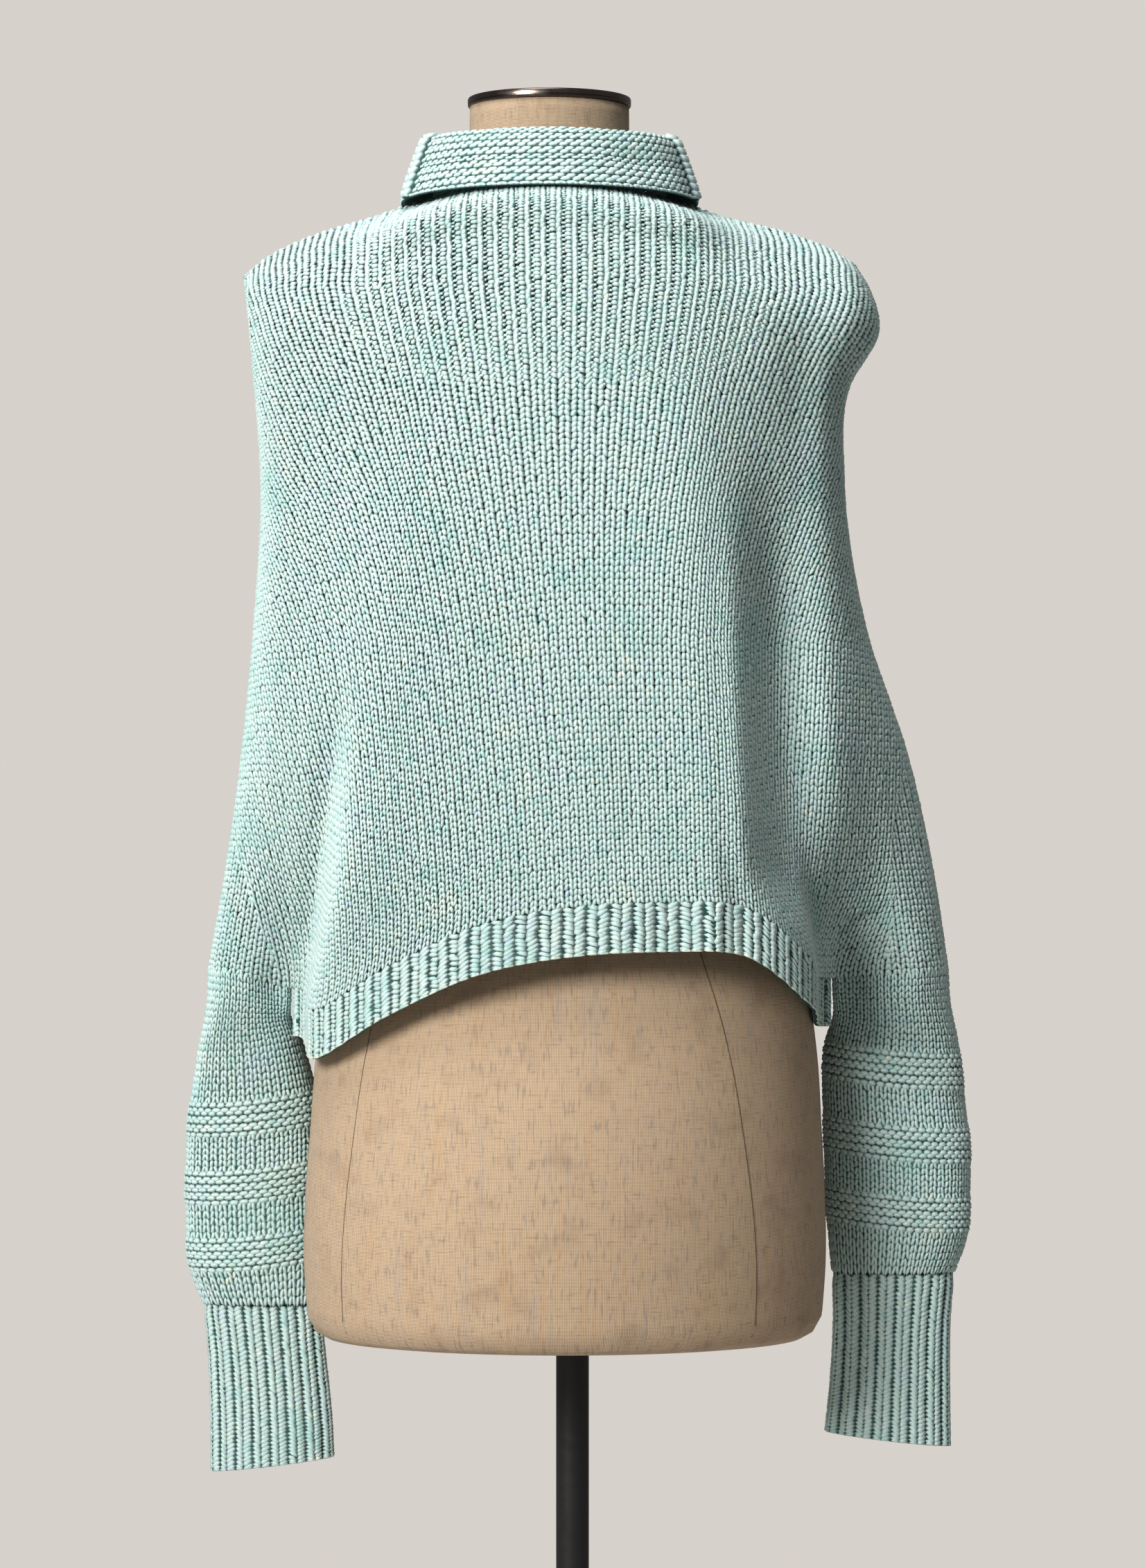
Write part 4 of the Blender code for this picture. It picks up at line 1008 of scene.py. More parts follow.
def build_sleeve(side, table, bands, yarn, materials):
    """One lower sleeve: plain knitting with three raised purl bands."""
    left = side == "left"
    rng = np.random.default_rng(31 if left else 37)
    ring = underarm_ring(left)
    around = run_length(np.concatenate([ring, ring[:1]]))[-1]
    stitches = int(round(around / (SLEEVE_STITCH * MM) * SLEEVE_FULLNESS))
    count = stitches * 4
    top = even_ring(ring, count)
    heights, zones = sleeve_zones(table, bands)
    rings = np.array([anticlockwise(sleeve_ring(table, top, height, count)) for height in heights])
    rise = np.zeros(len(heights))
    r = np.arange(len(heights)) * HALF
    for _, start, stop in [zone for zone in zones if zone[0]]:
        up = smooth(r, start - PURL_START, start + PURL_END)
        rise = np.maximum(rise, up * (1 - smooth(r, stop - PURL_END, stop + PURL_START)))
    raised = np.repeat((rise * BAND_RAISE)[:, None], count, 1)
    ground = (rings + grid_normals(rings, True) * (raised - GROUND_SINK)[:, :, None])[:, ::2]
    field = tube_field(ground, grid_normals(ground, True), HALF, 2)
    rows = []
    for band, start, stop in zones:
        if band:
            rows.append(purl_bumps(0, stitches, start, stop, yarn.relief * 0.85, rng, yarn.unevenness))
        else:
            # The first row laps over the body's last one.
            courses = np.linspace(start if start else -0.4, stop - 1, int(stop - start))
            rows.append(plain_stitches(field, np.arange(stitches), courses, False, yarn, rng))
    piece = stitch_piece(f"stitches_sleeve_{side}", [(field, np.concatenate(rows))], materials["yarn"])
    part = f"sleeve_{side}"
    tube_shell(part, part, rings, raised, 2, WALL, materials)


def ribbed(rings, ribs, lift):
    """Height of rounded rib columns over rings with an even number of points per rib."""
    per_rib = rings.shape[1] // ribs
    phase = (np.arange(rings.shape[1]) % per_rib) / per_rib
    profile = smooth(0.5 - 0.5 * np.cos(2 * math.pi * phase), 0.02, 0.45)
    return lift[:, None] * profile[None, :] * RIB_RAISE


def rib_stitches(ribs, rows, low, relief, rng, unevenness):
    """A column of plain stitches on each rib. low: how much of their height the left halves keep."""
    k, j = np.meshgrid(np.arange(ribs), np.arange(rows), indexing="ij")
    k, j = k.ravel() + 0.5, j.ravel() + 0.5
    halves = [lobes(w=k + side * 0.225, c=j, run_w=-side * 0.13, run_c=share, half_w=0.26, half_c=0.10,
                    height=relief * 0.8 * share) for side, share in ((-1, low), (1, 1.0))]
    return loosen(np.concatenate(halves), rng, unevenness)


def edge_chain(ribs, row, relief, rng, unevenness):
    """A cast-off edge: lying stitches end to end along the last row."""
    w = np.arange(0, ribs, 1.0 / CHAIN_PER_RIB) + 0.5 / CHAIN_PER_RIB
    return loosen(lobes(w=w, c=np.full(len(w), row), run_w=0.56 / CHAIN_PER_RIB, run_c=0.12, half_c=-0.62,
                        height=relief), rng, unevenness * 0.6)


def build_cuff(side, table, yarn, materials):
    """One ribbed cuff with its cast-off edge."""
    rng = np.random.default_rng(41 if side == "left" else 43)
    count = CUFF_RIBS * CUFF_SAMPLES
    upwards = np.array(table)[::-1]
    high, low = table[0][0], table[-1][0]
    rows = int(round((high - low) / RIB_ROW))
    rings = []
    for height in high - (high - low) * np.arange(rows * 2 + 1) / (rows * 2):
        ring = even_ring(ellipse_ring(along(upwards, upwards[:, 0], height), 256, CUFF_COLUMNS), count)
        slant = min(max((table[2][0] - height) / (table[2][0] - low), 0.0), 1.0)
        ring[:, 2] += CUFF_SLANT * MM * inward(ring) * slant
        rings.append(anticlockwise(ring))
    rings = np.array(rings)
    raised = ribbed(rings, CUFF_RIBS, smooth(np.arange(len(rings)), -2, 6)) - RIB_RAISE
    ground = rings + grid_normals(rings, True) * (raised - RIB_SINK)[:, :, None]
    field = tube_field(ground, grid_normals(ground, True), 1 / CUFF_SAMPLES, 0)
    stitches = [rib_stitches(CUFF_RIBS, rows, 1.0, yarn.relief * 0.95, rng, yarn.unevenness * 0.5),
                edge_chain(CUFF_RIBS, rows - 0.15, yarn.relief, rng, yarn.unevenness)]
    piece = stitch_piece(f"stitches_cuff_{side}", [(field, np.concatenate(stitches))], materials["yarn_rib"])
    part = f"cuff_{side}"
    tube_shell(part, part, rings, raised + GROUND_SINK - RIB_SINK, 2, WALL + RIB_RAISE * 0.4,
               materials)


def build_hem(yarn, materials):
    """The ribbed hem round back and front, with its pale cast-off edge."""
    rng = np.random.default_rng(53)
    places = np.linspace(3.0, 11.0, 193)
    back, front = body_row(1.0, places), body_row(1.0, SPANS + places)
    line = np.concatenate([back, half_ring_cap(back[-1], front[0], 4.0 * MM), front,
                           half_ring_cap(front[-1], back[0], -4.0 * MM)])
    top = anticlockwise(even_ring(line, HEM_RIBS * HEM_SAMPLES))
    rows = int(round(HEM_RIB_DEPTH / HEM_ROW))
    steps = np.arange(rows * 2 + 1) / (rows * 2)
    rings = np.array([top - (0, 0, HEM_RIB_DEPTH * f + SEAM_GAP) for f in steps])
    lift = np.clip(steps / 0.25, 0, 1)
    raised = 0.8 * ribbed(rings, HEM_RIBS, lift) - RIB_RAISE * 0.5 * lift[:, None]
    normals = np.repeat(outward(top)[None], len(rings), 0)
    ground = rings + normals * (raised - RIB_SINK)[:, :, None]
    field = tube_field(ground, normals, 1 / HEM_SAMPLES, 0)
    relief = yarn.relief * 0.9
    stitches = rib_stitches(HEM_RIBS, rows, 0.82, relief, rng, yarn.unevenness)
    chain = edge_chain(HEM_RIBS, rows - 0.2, relief, rng, yarn.unevenness)
    pieces = [stitch_piece(name, [(field, lobe_rows)], materials[yarn_name])
              for name, lobe_rows, yarn_name in (("stitches_hem", stitches, "yarn_rib"),
                                                 ("stitches_hem_edge", chain, "yarn_edge"))]
    tube_shell("hem", "hem_rib", rings, raised + GROUND_SINK - RIB_SINK, 1, WALL,
               materials)


# ---------------------------------------------------------------- collar
def collar_middle(turn, row):
    """Middle line of the collar wall at an angle (degrees from the right side towards the back)."""
    level = dict(zip(COLLAR_COLUMNS, row))
    angle = math.radians(turn)
    x = NECK_X + level["half_width"] * MM * math.cos(angle)
    y = -level["half_depth"] * MM * math.sin(angle)
    z = level["height"] * MM
    if level["half_width"] >= COLLAR_FOLD[0]:
        flap = min(max((COLLAR_FOLD[2] - level["height"]) / (COLLAR_FOLD[2] - COLLAR_ROWS[-1][2]), 0.0), 1.0)
        z += flap * (max(0.0, math.sin(angle)) * BACK_LIFT - max(0.0, -math.sin(angle)) * FRONT_DROP)
    return np.array([x, y, z])


def neckline():
    """The body's neck edge by angle: turn in degrees, x, y and z, sorted by turn."""
    places = np.linspace(5.0, 9.0, 33)
    points = np.concatenate([body_row(0.0, places), body_row(0.0, SPANS + places)])
    turn = np.degrees(np.arctan2(-points[:, 1], points[:, 0] - NECK_X)) % 360
    rows = np.concatenate([turn[:, None], points], 1)
    rows = rows[np.argsort(rows[:, 0])]
    return np.concatenate([rows - (360, 0, 0, 0), rows, rows + (360, 0, 0, 0)])


def collar_line(turn, edge, count):
    """The collar wall's middle line from its foot over the fold to the turned-down edge."""
    foot = np.array([np.interp(turn, edge[:, 0], edge[:, k]) for k in (1, 2, 3)])
    to_neck = unit(np.array([NECK_X - foot[0], -foot[1], 0.0]))
    foot = foot + to_neck * COLLAR_WALL / 2 + (0, 0, SEAM_GAP + 0.1 * MM)
    upper = [collar_middle(turn, row) for row in COLLAR_ROWS]
    knee = foot * 0.68 + upper[0] * 0.32
    knee[:2] = foot[:2] * 0.45 + upper[0][:2] * 0.55
    line = np.array([foot, knee] + upper)
    length = run_length(line)
    at = np.linspace(0, length[-1], count)
    return np.array([along(line, length, t) for t in at]), length[-1]


def collar_normals(middle, turns):
    """Normals of the collar's middle face, which point outwards once the wall has turned over."""
    around = np.radians(turns)
    radial = np.stack([np.cos(around), -np.sin(around), np.zeros(len(turns))], 1)
    normal = unit(np.cross(unit(np.gradient(middle, axis=0)), np.cross(radial, (0, 0, 1.0))[None]))
    if (normal[-1] * radial).sum() < 0:
        normal = -normal
    normal[0] = -radial
    return normal


def collar_chains(rows, wide, relief):
    """A chain of plain stitches beside each end of the back collar."""
    c = np.arange(rows * 0.42, rows - 0.2, 1.9)
    width = CHAIN_WIDTH * COLLAR_PER_DEGREE
    return [lobes(w=np.full(len(c), middle + side * 0.34), c=c, run_w=-side * 0.26, run_c=1.55, half_w=0.42,
                  height=relief * 1.9)
            for middle in (width / 2, wide - width / 2) for side in (-1, 1)]


def build_collar(yarn, materials):
    """Both halves of the fold-over collar in reverse knitting, chained beside the back's two seams."""
    rng = np.random.default_rng(61)
    edge = neckline()
    share = np.linspace(0, 1, COLLAR_SAMPLES)[:, None]
    for name, first, last in (("collar_back", COLLAR_SEAM_RIGHT, COLLAR_SEAM_LEFT),
                              ("collar_front", COLLAR_SEAM_LEFT + 0.26, COLLAR_SEAM_RIGHT + 360 - 0.26)):
        turns = np.linspace(last, first, int((last - first) / 1.5) + 1)
        lines, lengths = zip(*[collar_line(turn, edge, COLLAR_SAMPLES) for turn in turns])
        middle = np.stack(lines, 1)
        normal = collar_normals(middle, turns)
        length = float(np.mean(lengths))
        dent = chain = 0.0 * share
        inset = 0.0
        if name == "collar_back":
            # The flap's right part is pressed in by a soft dent.
            off = (turns[None, :] - 50 + 60 * (share - 0.74)) / 13
            dent = 4.5 * MM * np.exp(-off**2 - ((share - 0.74) / 0.12) ** 2)
            near = np.minimum(np.abs(turns - first), np.abs(turns - last))
            chain = CHAIN_RAISE * (1 - smooth(near, CHAIN_WIDTH - 1.5, CHAIN_WIDTH + 1.0)) * smooth(share, 0.38, 0.46)
            inset = (CHAIN_WIDTH + 0.6) * COLLAR_PER_DEGREE
        outer = middle + normal * (COLLAR_WALL / 2 - GROUND_SINK - dent + chain)[:, :, None]
        inner = middle - normal * (COLLAR_WALL / 2 + dent * 0.9)[:, :, None]
        rows = int(round(length / (COLLAR_ROW * MM)))
        at = np.round(np.linspace(0, COLLAR_SAMPLES - 1, rows * 2 + 1)).astype(int)
        w_step = abs(turns[1] - turns[0]) * COLLAR_PER_DEGREE
        field = Field(outer[at], normal[at], np.ones((len(at), len(turns)), bool), 0.0, w_step, HALF)
        wide = w_step * (len(turns) - 1)
        bumps = purl_bumps(inset, wide - inset, 3, rows - 0.1, yarn.relief * 0.75, rng, yarn.unevenness, -0.14, 0.56)
        ok = (bumps[:, 0] > inset + 0.3) & (bumps[:, 0] < wide - inset - 0.3)
        w_edge = np.arange(0.5, wide - 0.2, 0.5)
        layers = [bumps[ok], lobes(w=w_edge, c=np.full(len(w_edge), rows - 0.35), run_w=0.30, run_c=0.12,
                                   half_c=-0.55, height=yarn.relief * 0.9)]
        if name == "collar_back":
            layers += collar_chains(rows, wide, yarn.relief)
        piece = stitch_piece(f"stitches_{name}", [(field, np.concatenate(layers))], materials["yarn"])
        shell = cloth_shell(f"cloth_{name}", outer[::2], inner[::2], False, materials)
        in_place_of(name)


# ---------------------------------------------------------------- dress form and stand
def form_level(height):
    """The form's sizes at a height, by name. Its rounded foot follows the rows by straight lines."""
    values = np.array(FORM_ROWS)
    heights = values[:, 0]
    if height < FORM_FOOT + 1:
        return dict(zip(FORM_COLUMNS, [np.interp(height, heights, column) for column in values.T]))
    return dict(zip(FORM_COLUMNS, along(values[3:], heights[3:], height)))


def linen_cover(materials):
    """The linen cover as one smooth skin."""
    sides = 128
    turn = 2 * math.pi * np.arange(sides) / sides
    top = FORM_ROWS[-1][0]
    heights = np.unique([row[0] for row in FORM_ROWS] + list(np.linspace(FORM_FOOT, top, 120)))[::-1]
    rings = []
    for height in heights:
        row = form_level(height)
        depth = np.where(np.sin(turn) >= 0, row["front"] - 0.5, -row["back"] - 0.5)
        rings.append(np.stack([(row["centre"] + (row["half_width"] - 0.6) * np.cos(turn)) * MM,
                               depth * np.sin(turn) * MM, np.full(sides, height * MM)], 1))
    rings = np.array(rings)
    points, faces = capped(rings)
    flat = np.array([v for face in faces for v in face])
    u = (flat % sides) / sides
    quads = (len(rings) - 1) * sides * 4
    u[:quads] = round_the_seam(u[:quads].reshape(-1, 4))
    z = points[flat][:, 2]
    uv = np.stack([0.001 + 0.99 * u, 0.001 + 0.99 * (z - z.min()) / (z.max() - z.min())], 1)
    cover = add_piece("linen_cover", points, faces, [materials["linen"]], uv=uv)
    in_place_of("dress_form")


def linen_seams(materials):
    """The cover's seams, as low cords of four-cornered section."""
    lines = []
    for seam in FORM_SEAMS:
        lines.append(seam)
        if len(seam) > 3:
            lines.append(tuple((z, 360 - angle) for z, angle in seam))
    points, faces = [], []
    for seam in lines:
        first = len(points)
        knots, angles = zip(*seam)
        line = []
        for z in np.linspace(712, knots[-1], 90):
            turn = np.radians(along(angles, knots, z))
            row = form_level(z)
            depth = row["back"] if math.sin(turn) >= 0 else -row["front"]
            line.append(((row["centre"] + (row["half_width"] - 0.6) * math.cos(turn)) * MM,
                         (depth + (0.5 if depth < 0 else -0.5)) * math.sin(turn) * MM, z * MM))
        line = np.array(line)
        facing = unit((line - (NECK_X, 0, 0)) * (1, 1, 0))
        for p, f, a in zip(line, facing * MM, np.cross(facing, (0, 0, 1.0)) * MM):
            points += [p + a * 0.55 - f * 0.3, p + f * 0.28, p - a * 0.55 - f * 0.3, p - f * 0.7]
        for k in range(len(line) - 1):
            for q in range(4):
                here, beside = first + k * 4 + q, first + k * 4 + (q + 1) % 4
                faces.append([here, here + 4, beside + 4, beside])
        last = first + (len(line) - 1) * 4
        faces += [[first, first + 1, first + 2, first + 3], [last + 3, last + 2, last + 1, last]]
    seams = add_piece("linen_seams", points, faces, [materials["seam"]])
    outward_faces(seams)


def turned(name, profile, sides, centre, material, node, depth=1.0):
    """A turned body through (radius, height) pairs from the top middle down to the bottom middle."""
    turn = 2 * math.pi * np.arange(sides) / sides
    points, faces = capped(np.array([np.stack([centre + r * np.cos(turn), r * depth * np.sin(turn),
                                               np.full(sides, z)], 1) for r, z in profile]))
    thing = add_piece(name, points, faces, [material])
    outward_faces(thing)
    thing.data.set_sharp_from_angle(angle=math.radians(38))
    in_place_of(node)


def build_stand(materials):
    """Neck cap, pole, socket and base, turned to the sizes of their solids."""
    low, high, r = NECK_TOP + 0.3 * MM, NECK_TOP + CAP_THICK, CAP_RADIUS
    # How far in from the rim and how far below the top or above the foot each corner of the cap lies, in mm.
    cap = [(r - a * MM, high - b * MM) for a, b in ((5.2, 0.9), (5.0, 0.9), (4.6, 0), (1.4, 0), (0.5, 0.4), (0, 1.4))]
    cap += [(r - a * MM, low + b * MM) for a, b in ((0, 2.4), (0.35, 2.1), (0.35, 1.8), (0, 1.5), (0.2, 0.4), (1, 0))]
    turned("neck_plate", cap, 160, NECK_X, materials["metal"], "neck_cap", 0.985)
    low, high = [corner[2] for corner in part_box("pole")]
    r, edge = POLE_RADIUS, 0.6 * MM
    turned("pole_rod", [(r - edge, high), (r, high - edge), (r, low + edge), (r - edge, low)], 64, 0.0,
           materials["paint"], "pole")
    bevel = 2.5 * MM
    for name, node in (("socket_collar", "pole_socket"), ("base_disc", "base_plate")):
        (_, _, low), (radius, _, high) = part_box(node)
        arc = [(radius - bevel + bevel * math.sin(a), high - bevel + bevel * math.cos(a))
               for a in np.linspace(0, math.pi / 2, 6)]
        turned(name, arc + [(radius, low + 0.4 * MM), (radius - 0.4 * MM, low)], 128, 0.0, materials["paint"],
               node)


# ---------------------------------------------------------------- materials
def new_group(name, inputs, outputs):
    """A shader node group with named inputs (name, kind, default) and outputs (name, kind)."""
    group = bpy.data.node_groups.new(name, "ShaderNodeTree")
    for label, kind, default in inputs:
        socket = group.interface.new_socket(name=label, in_out="INPUT", socket_type=kind)
        if default is not None:
            socket.default_value = default
    for label, kind in outputs:
        group.interface.new_socket(name=label, in_out="OUTPUT", socket_type=kind)
    return group, group.nodes.new("NodeGroupInput"), group.nodes.new("NodeGroupOutput")


def noise(tree, vector, scale, detail=2.0, rough=0.5):
    """Cloudy values from 0 to 1."""
    node = tree.nodes.new("ShaderNodeTexNoise")
    node.inputs["Scale"].default_value = scale
    node.inputs["Detail"].default_value = detail
    node.inputs["Roughness"].default_value = rough
    tree.links.new(vector, node.inputs["Vector"])
    return node.outputs["Fac"]


def ramp(tree, value, low, high, to_low=0.0, to_high=1.0, kind="SMOOTHSTEP"):
    """Maps the values from low to high onto those from to_low to to_high."""
    node = tree.nodes.new("ShaderNodeMapRange")
    node.interpolation_type = kind
    for key, number in (("From Min", low), ("From Max", high), ("To Min", to_low), ("To Max", to_high)):
        node.inputs[key].default_value = number
    tree.links.new(value, node.inputs["Value"])
    return node.outputs["Result"]


def feed(tree, value, socket):
    """Links a socket, or sets a number or colour."""
    if isinstance(value, bpy.types.NodeSocket):
        tree.links.new(value, socket)
    elif value is not None:
        socket.default_value = value


def tint(tree, base, colour, share):
    """Mixes a colour into base by share, each a socket or a value."""
    node = tree.nodes.new("ShaderNodeMix")
    node.data_type = "RGBA"
    sockets = {(socket.name, socket.type): socket for socket in node.inputs}
    for key, value in (("A", base), ("B", colour)):
        feed(tree, (*value, 1.0) if isinstance(value, tuple) else value, sockets[key, "RGBA"])
    feed(tree, share, sockets["Factor", "VALUE"])
    return [socket for socket in node.outputs if socket.type == "RGBA"][0]


def maths(tree, operation, a, b=None):
    """One sum of two sockets or numbers."""
    node = tree.nodes.new("ShaderNodeMath")
    node.operation = operation
    for socket, value in zip(node.inputs, (a, b)):
        feed(tree, value, socket)
    return node.outputs[0]


def times(tree, a, b):
    """a times b."""
    return maths(tree, "MULTIPLY", a, b)


def add_group(tree, group, **values):
    """Places a node group, with values for its inputs by name."""
    node = tree.nodes.new("ShaderNodeGroup")
    node.node_tree = group
    for label, value in values.items():
        feed(tree, value, node.inputs[label])
    return node


# Colour of the seam thread, also used as the painted shade in the gaps between the linen's threads.
SEAM_AND_GAP_SHADE_BROWN = (0.13, 0.085, 0.055)


def yarn_group():
    """Mottled, softly flecked yarn: colour and fibre height."""
    group, given, out = new_group(
        "mottled_yarn",
        [("Vector", "NodeSocketVector", None), ("Yarn", "NodeSocketColor", (0.5, 0.66, 0.64, 1)),
         ("Flecks", "NodeSocketFloat", 1.0)],
        [("Color", "NodeSocketColor"), ("Height", "NodeSocketFloat")])
    vector = given.outputs["Vector"]
    colour = given.outputs["Yarn"]
    flecks = given.outputs["Flecks"]
    shades = (
        (21.0, 0.52, 0.74, (0.37, 0.59, 0.56), 0.50), (34.0, 0.56, 0.74, (0.52, 0.62, 0.70), 0.34),
        (27.0, 0.60, 0.78, (0.66, 0.72, 0.62), 0.30), (110.0, 0.56, 0.70, (0.30, 0.55, 0.53), 0.42),
        (130.0, 0.60, 0.72, (0.47, 0.57, 0.72), 0.40), (150.0, 0.62, 0.72, (0.78, 0.81, 0.70), 0.42),
        (300.0, 0.56, 0.70, (0.29, 0.50, 0.49), 0.42),
    )
    for k, (scale, low, high, shade, share) in enumerate(shades):
        shift = group.nodes.new("ShaderNodeVectorMath")
        shift.operation = "ADD"
        shift.inputs[1].default_value = (3.1 * k, 1.7 * k, 5.3 * k)
        group.links.new(vector, shift.inputs[0])
        mask = ramp(group, noise(group, shift.outputs[0], scale), low, high)
        colour = tint(group, colour, shade, times(group, times(group, mask, share), flecks))
    group.links.new(colour, out.inputs["Color"])
    fibre = noise(group, vector, 1500.0, 3.0, 0.7)
    group.links.new(fibre, out.inputs["Height"])
    return group


def linen_group():
    """Plain weave with slubs and painted shade between the threads: colour and thread height, from lengths along the
    cloth.
    """
    group, given, out = new_group(
        "plain_weave",
        [("Across", "NodeSocketFloat", None), ("Down", "NodeSocketFloat", None),
         ("Linen", "NodeSocketColor", (0.50, 0.36, 0.24, 1)), ("Threads", "NodeSocketFloat", 1000.0)],
        [("Color", "NodeSocketColor"), ("Height", "NodeSocketFloat")])
    a = times(group, given.outputs["Across"], given.outputs["Threads"])
    d = times(group, given.outputs["Down"], given.outputs["Threads"])
    wave = times(group, *[maths(group, "SINE", times(group, place, math.pi)) for place in (a, d)])
    weave = maths(group, "ABSOLUTE", wave)
    over = maths(group, "GREATER_THAN", wave, 0.0)

    def threads(across, down, scale, detail):
        """Uneven threads, drawn out by how much slower the noise runs across or down."""
        node = group.nodes.new("ShaderNodeCombineXYZ")
        for socket, place, share in zip(node.inputs, (a, d), (across, down)):
            group.links.new(times(group, place, share) if share != 1 else place, socket)
        return noise(group, node.outputs[0], scale, detail)

    warp = threads(1, 0.13, 0.60, 1.0)
    streak = threads(0.22, 0.012, 0.9, 2.0)
    weft = threads(0.16, 1, 0.55, 1.0)
    cloud = threads(1, 1, 0.035, 3.0)
    colour = tint(group, given.outputs["Linen"], (0.60, 0.49, 0.36), times(group, over, 0.62))
    for value, low, high, shade, share in (
            (streak, 0.54, 0.70, (0.40, 0.39, 0.42), 0.22), (streak, 0.47, 0.33, (0.60, 0.36, 0.17), 0.22),
            (warp, 0.54, 0.72, (0.31, 0.27, 0.25), 0.50), (warp, 0.46, 0.30, (0.66, 0.50, 0.33), 0.45),
            (weft, 0.60, 0.80, (0.66, 0.56, 0.43), 0.35), (weft, 0.40, 0.25, (0.28, 0.21, 0.15), 0.35),
            (cloud, 0.50, 0.75, (0.36, 0.26, 0.18), 0.40)):
        colour = tint(group, colour, shade, times(group, ramp(group, value, low, high), share))
    # Painted shade: the gaps between the threads are darkened towards brown.
    thread_gap_shade = maths(group, "SUBTRACT", 1.0, ramp(group, weave, 0.0, 0.40))
    colour = tint(group, colour, SEAM_AND_GAP_SHADE_BROWN, times(group, thread_gap_shade, 0.72))
    group.links.new(colour, out.inputs["Color"])
    group.links.new(maths(group, "ADD", weave, times(group, warp, 0.5)), out.inputs["Height"])
    return group


def plain_material(name, colour, roughness, metallic=0.0):
    """A material, its node tree and its shader."""
    material = bpy.data.materials.new(name)
    material.use_nodes = True
    shader = material.node_tree.nodes["Principled BSDF"]
    shader.inputs["Base Color"].default_value = (*colour, 1.0)
    shader.inputs["Roughness"].default_value = roughness
    shader.inputs["Metallic"].default_value = metallic
    return material, material.node_tree, shader


def object_vector(tree):
    """Places on the object, in metres."""
    return tree.nodes.new("ShaderNodeTexCoord").outputs["Object"]


def bump(tree, shader, height, strength, distance):
    """Fine relief on a shader from a height."""
    node = tree.nodes.new("ShaderNodeBump")
    node.inputs["Strength"].default_value = strength
    node.inputs["Distance"].default_value = distance
    tree.links.new(height, node.inputs["Height"])
    tree.links.new(node.outputs["Normal"], shader.inputs["Normal"])


def yarn_material(name, group, colour, flecks=1.0, sheen=0.25):
    """Matt, slightly furry yarn."""
    material, tree, shader = plain_material(name, colour, 0.88)
    node = add_group(tree, group, Yarn=(*colour, 1.0), Flecks=flecks, Vector=object_vector(tree))
    tree.links.new(node.outputs["Color"], shader.inputs["Base Color"])
    shader.inputs["Sheen Weight"].default_value = sheen
    shader.inputs["Sheen Roughness"].default_value = 0.6
    shader.inputs["Specular IOR Level"].default_value = 0.25
    bump(tree, shader, node.outputs["Height"], 0.45, 0.25 * MM)
    return material


def linen_material(colour, thread_width):
    """Matt linen, woven along the cover's map."""
    material, tree, shader = plain_material("slubbed_linen", colour, 0.86)
    place = tree.nodes.new("ShaderNodeUVMap")
    place.uv_map = BAKE_MAP
    split = tree.nodes.new("ShaderNodeSeparateXYZ")
    tree.links.new(place.outputs[0], split.inputs[0])
    # The cover is about 0.93 m round and 0.84 m high.
    node = add_group(tree, linen_group(), Linen=(*colour, 1.0), Threads=1.0 / thread_width,
                     Across=times(tree, split.outputs[0], 0.93), Down=times(tree, split.outputs[1], 0.84))
    tree.links.new(node.outputs["Color"], shader.inputs["Base Color"])
    shader.inputs["Sheen Weight"].default_value = 0.12
    bump(tree, shader, node.outputs["Height"], 0.6, 0.35 * MM)
    return material


def hazy_material(name, colour, roughness, metallic, scale, low, high):
    """Smooth metal or paint whose gloss changes softly over the surface."""
    material, tree, shader = plain_material(name, colour, roughness, metallic)
    haze = noise(tree, object_vector(tree), scale, 4.0)
    tree.links.new(ramp(tree, haze, 0.3, 0.7, low, high, "LINEAR"), shader.inputs["Roughness"])
    return material, tree, shader


MATERIALS = {}


def make_materials(scene):
    """All materials by name, made once."""
    if MATERIALS:
        return MATERIALS
    yarn, form = scene.sweater_yarn, scene.sweater_form
    mottled = yarn_group()
    colour = tuple(yarn.yarn_colour)
    MATERIALS["yarn"] = yarn_material("aqua_yarn", mottled, colour)
    MATERIALS["yarn_rib"] = yarn_material("aqua_rib_yarn", mottled, tuple(v * 0.97 for v in colour))
    MATERIALS["yarn_edge"] = yarn_material("cream_edge_yarn", mottled, (0.63, 0.69, 0.60), 0.5)
    # The ground yarn is painted near black: painted shade between the stitches.
    MATERIALS["ground"] = yarn_material("painted_shade_ground_yarn", mottled, tuple(yarn.shadow_colour), 0.22, 0.0)
    # The wrong side is the yarn darkened by a fifth: painted shade inside the cloth.
    MATERIALS["inside"] = yarn_material("shaded_wrong_side_yarn", mottled, tuple(v * 0.8 for v in colour))
    MATERIALS["linen"] = linen_material(tuple(form.linen_colour), form.thread_width)
    MATERIALS["seam"], tree, shader = plain_material("seam_thread", SEAM_AND_GAP_SHADE_BROWN, 0.9)
    grain = noise(tree, object_vector(tree), 900.0)
    tree.links.new(tint(tree, (0.10, 0.07, 0.045), (0.24, 0.17, 0.11), grain), shader.inputs["Base Color"])
    MATERIALS["metal"], _, _ = hazy_material("dark_nickel", tuple(form.metal_colour), 0.24, 1.0, 90.0, 0.18, 0.34)
    MATERIALS["paint"], tree, shader = hazy_material("satin_black", tuple(form.paint_colour), 0.38, 0.0, 140.0,
                                                     0.32, 0.46)
    bump(tree, shader, noise(tree, object_vector(tree), 1200.0), 0.15, 0.05 * MM)
    return MATERIALS


# ---------------------------------------------------------------- stage
FLOOR_RADIUS = 3.35
FLOOR_SIDES = 96
FLOOR_HEIGHT = -0.5 * MM


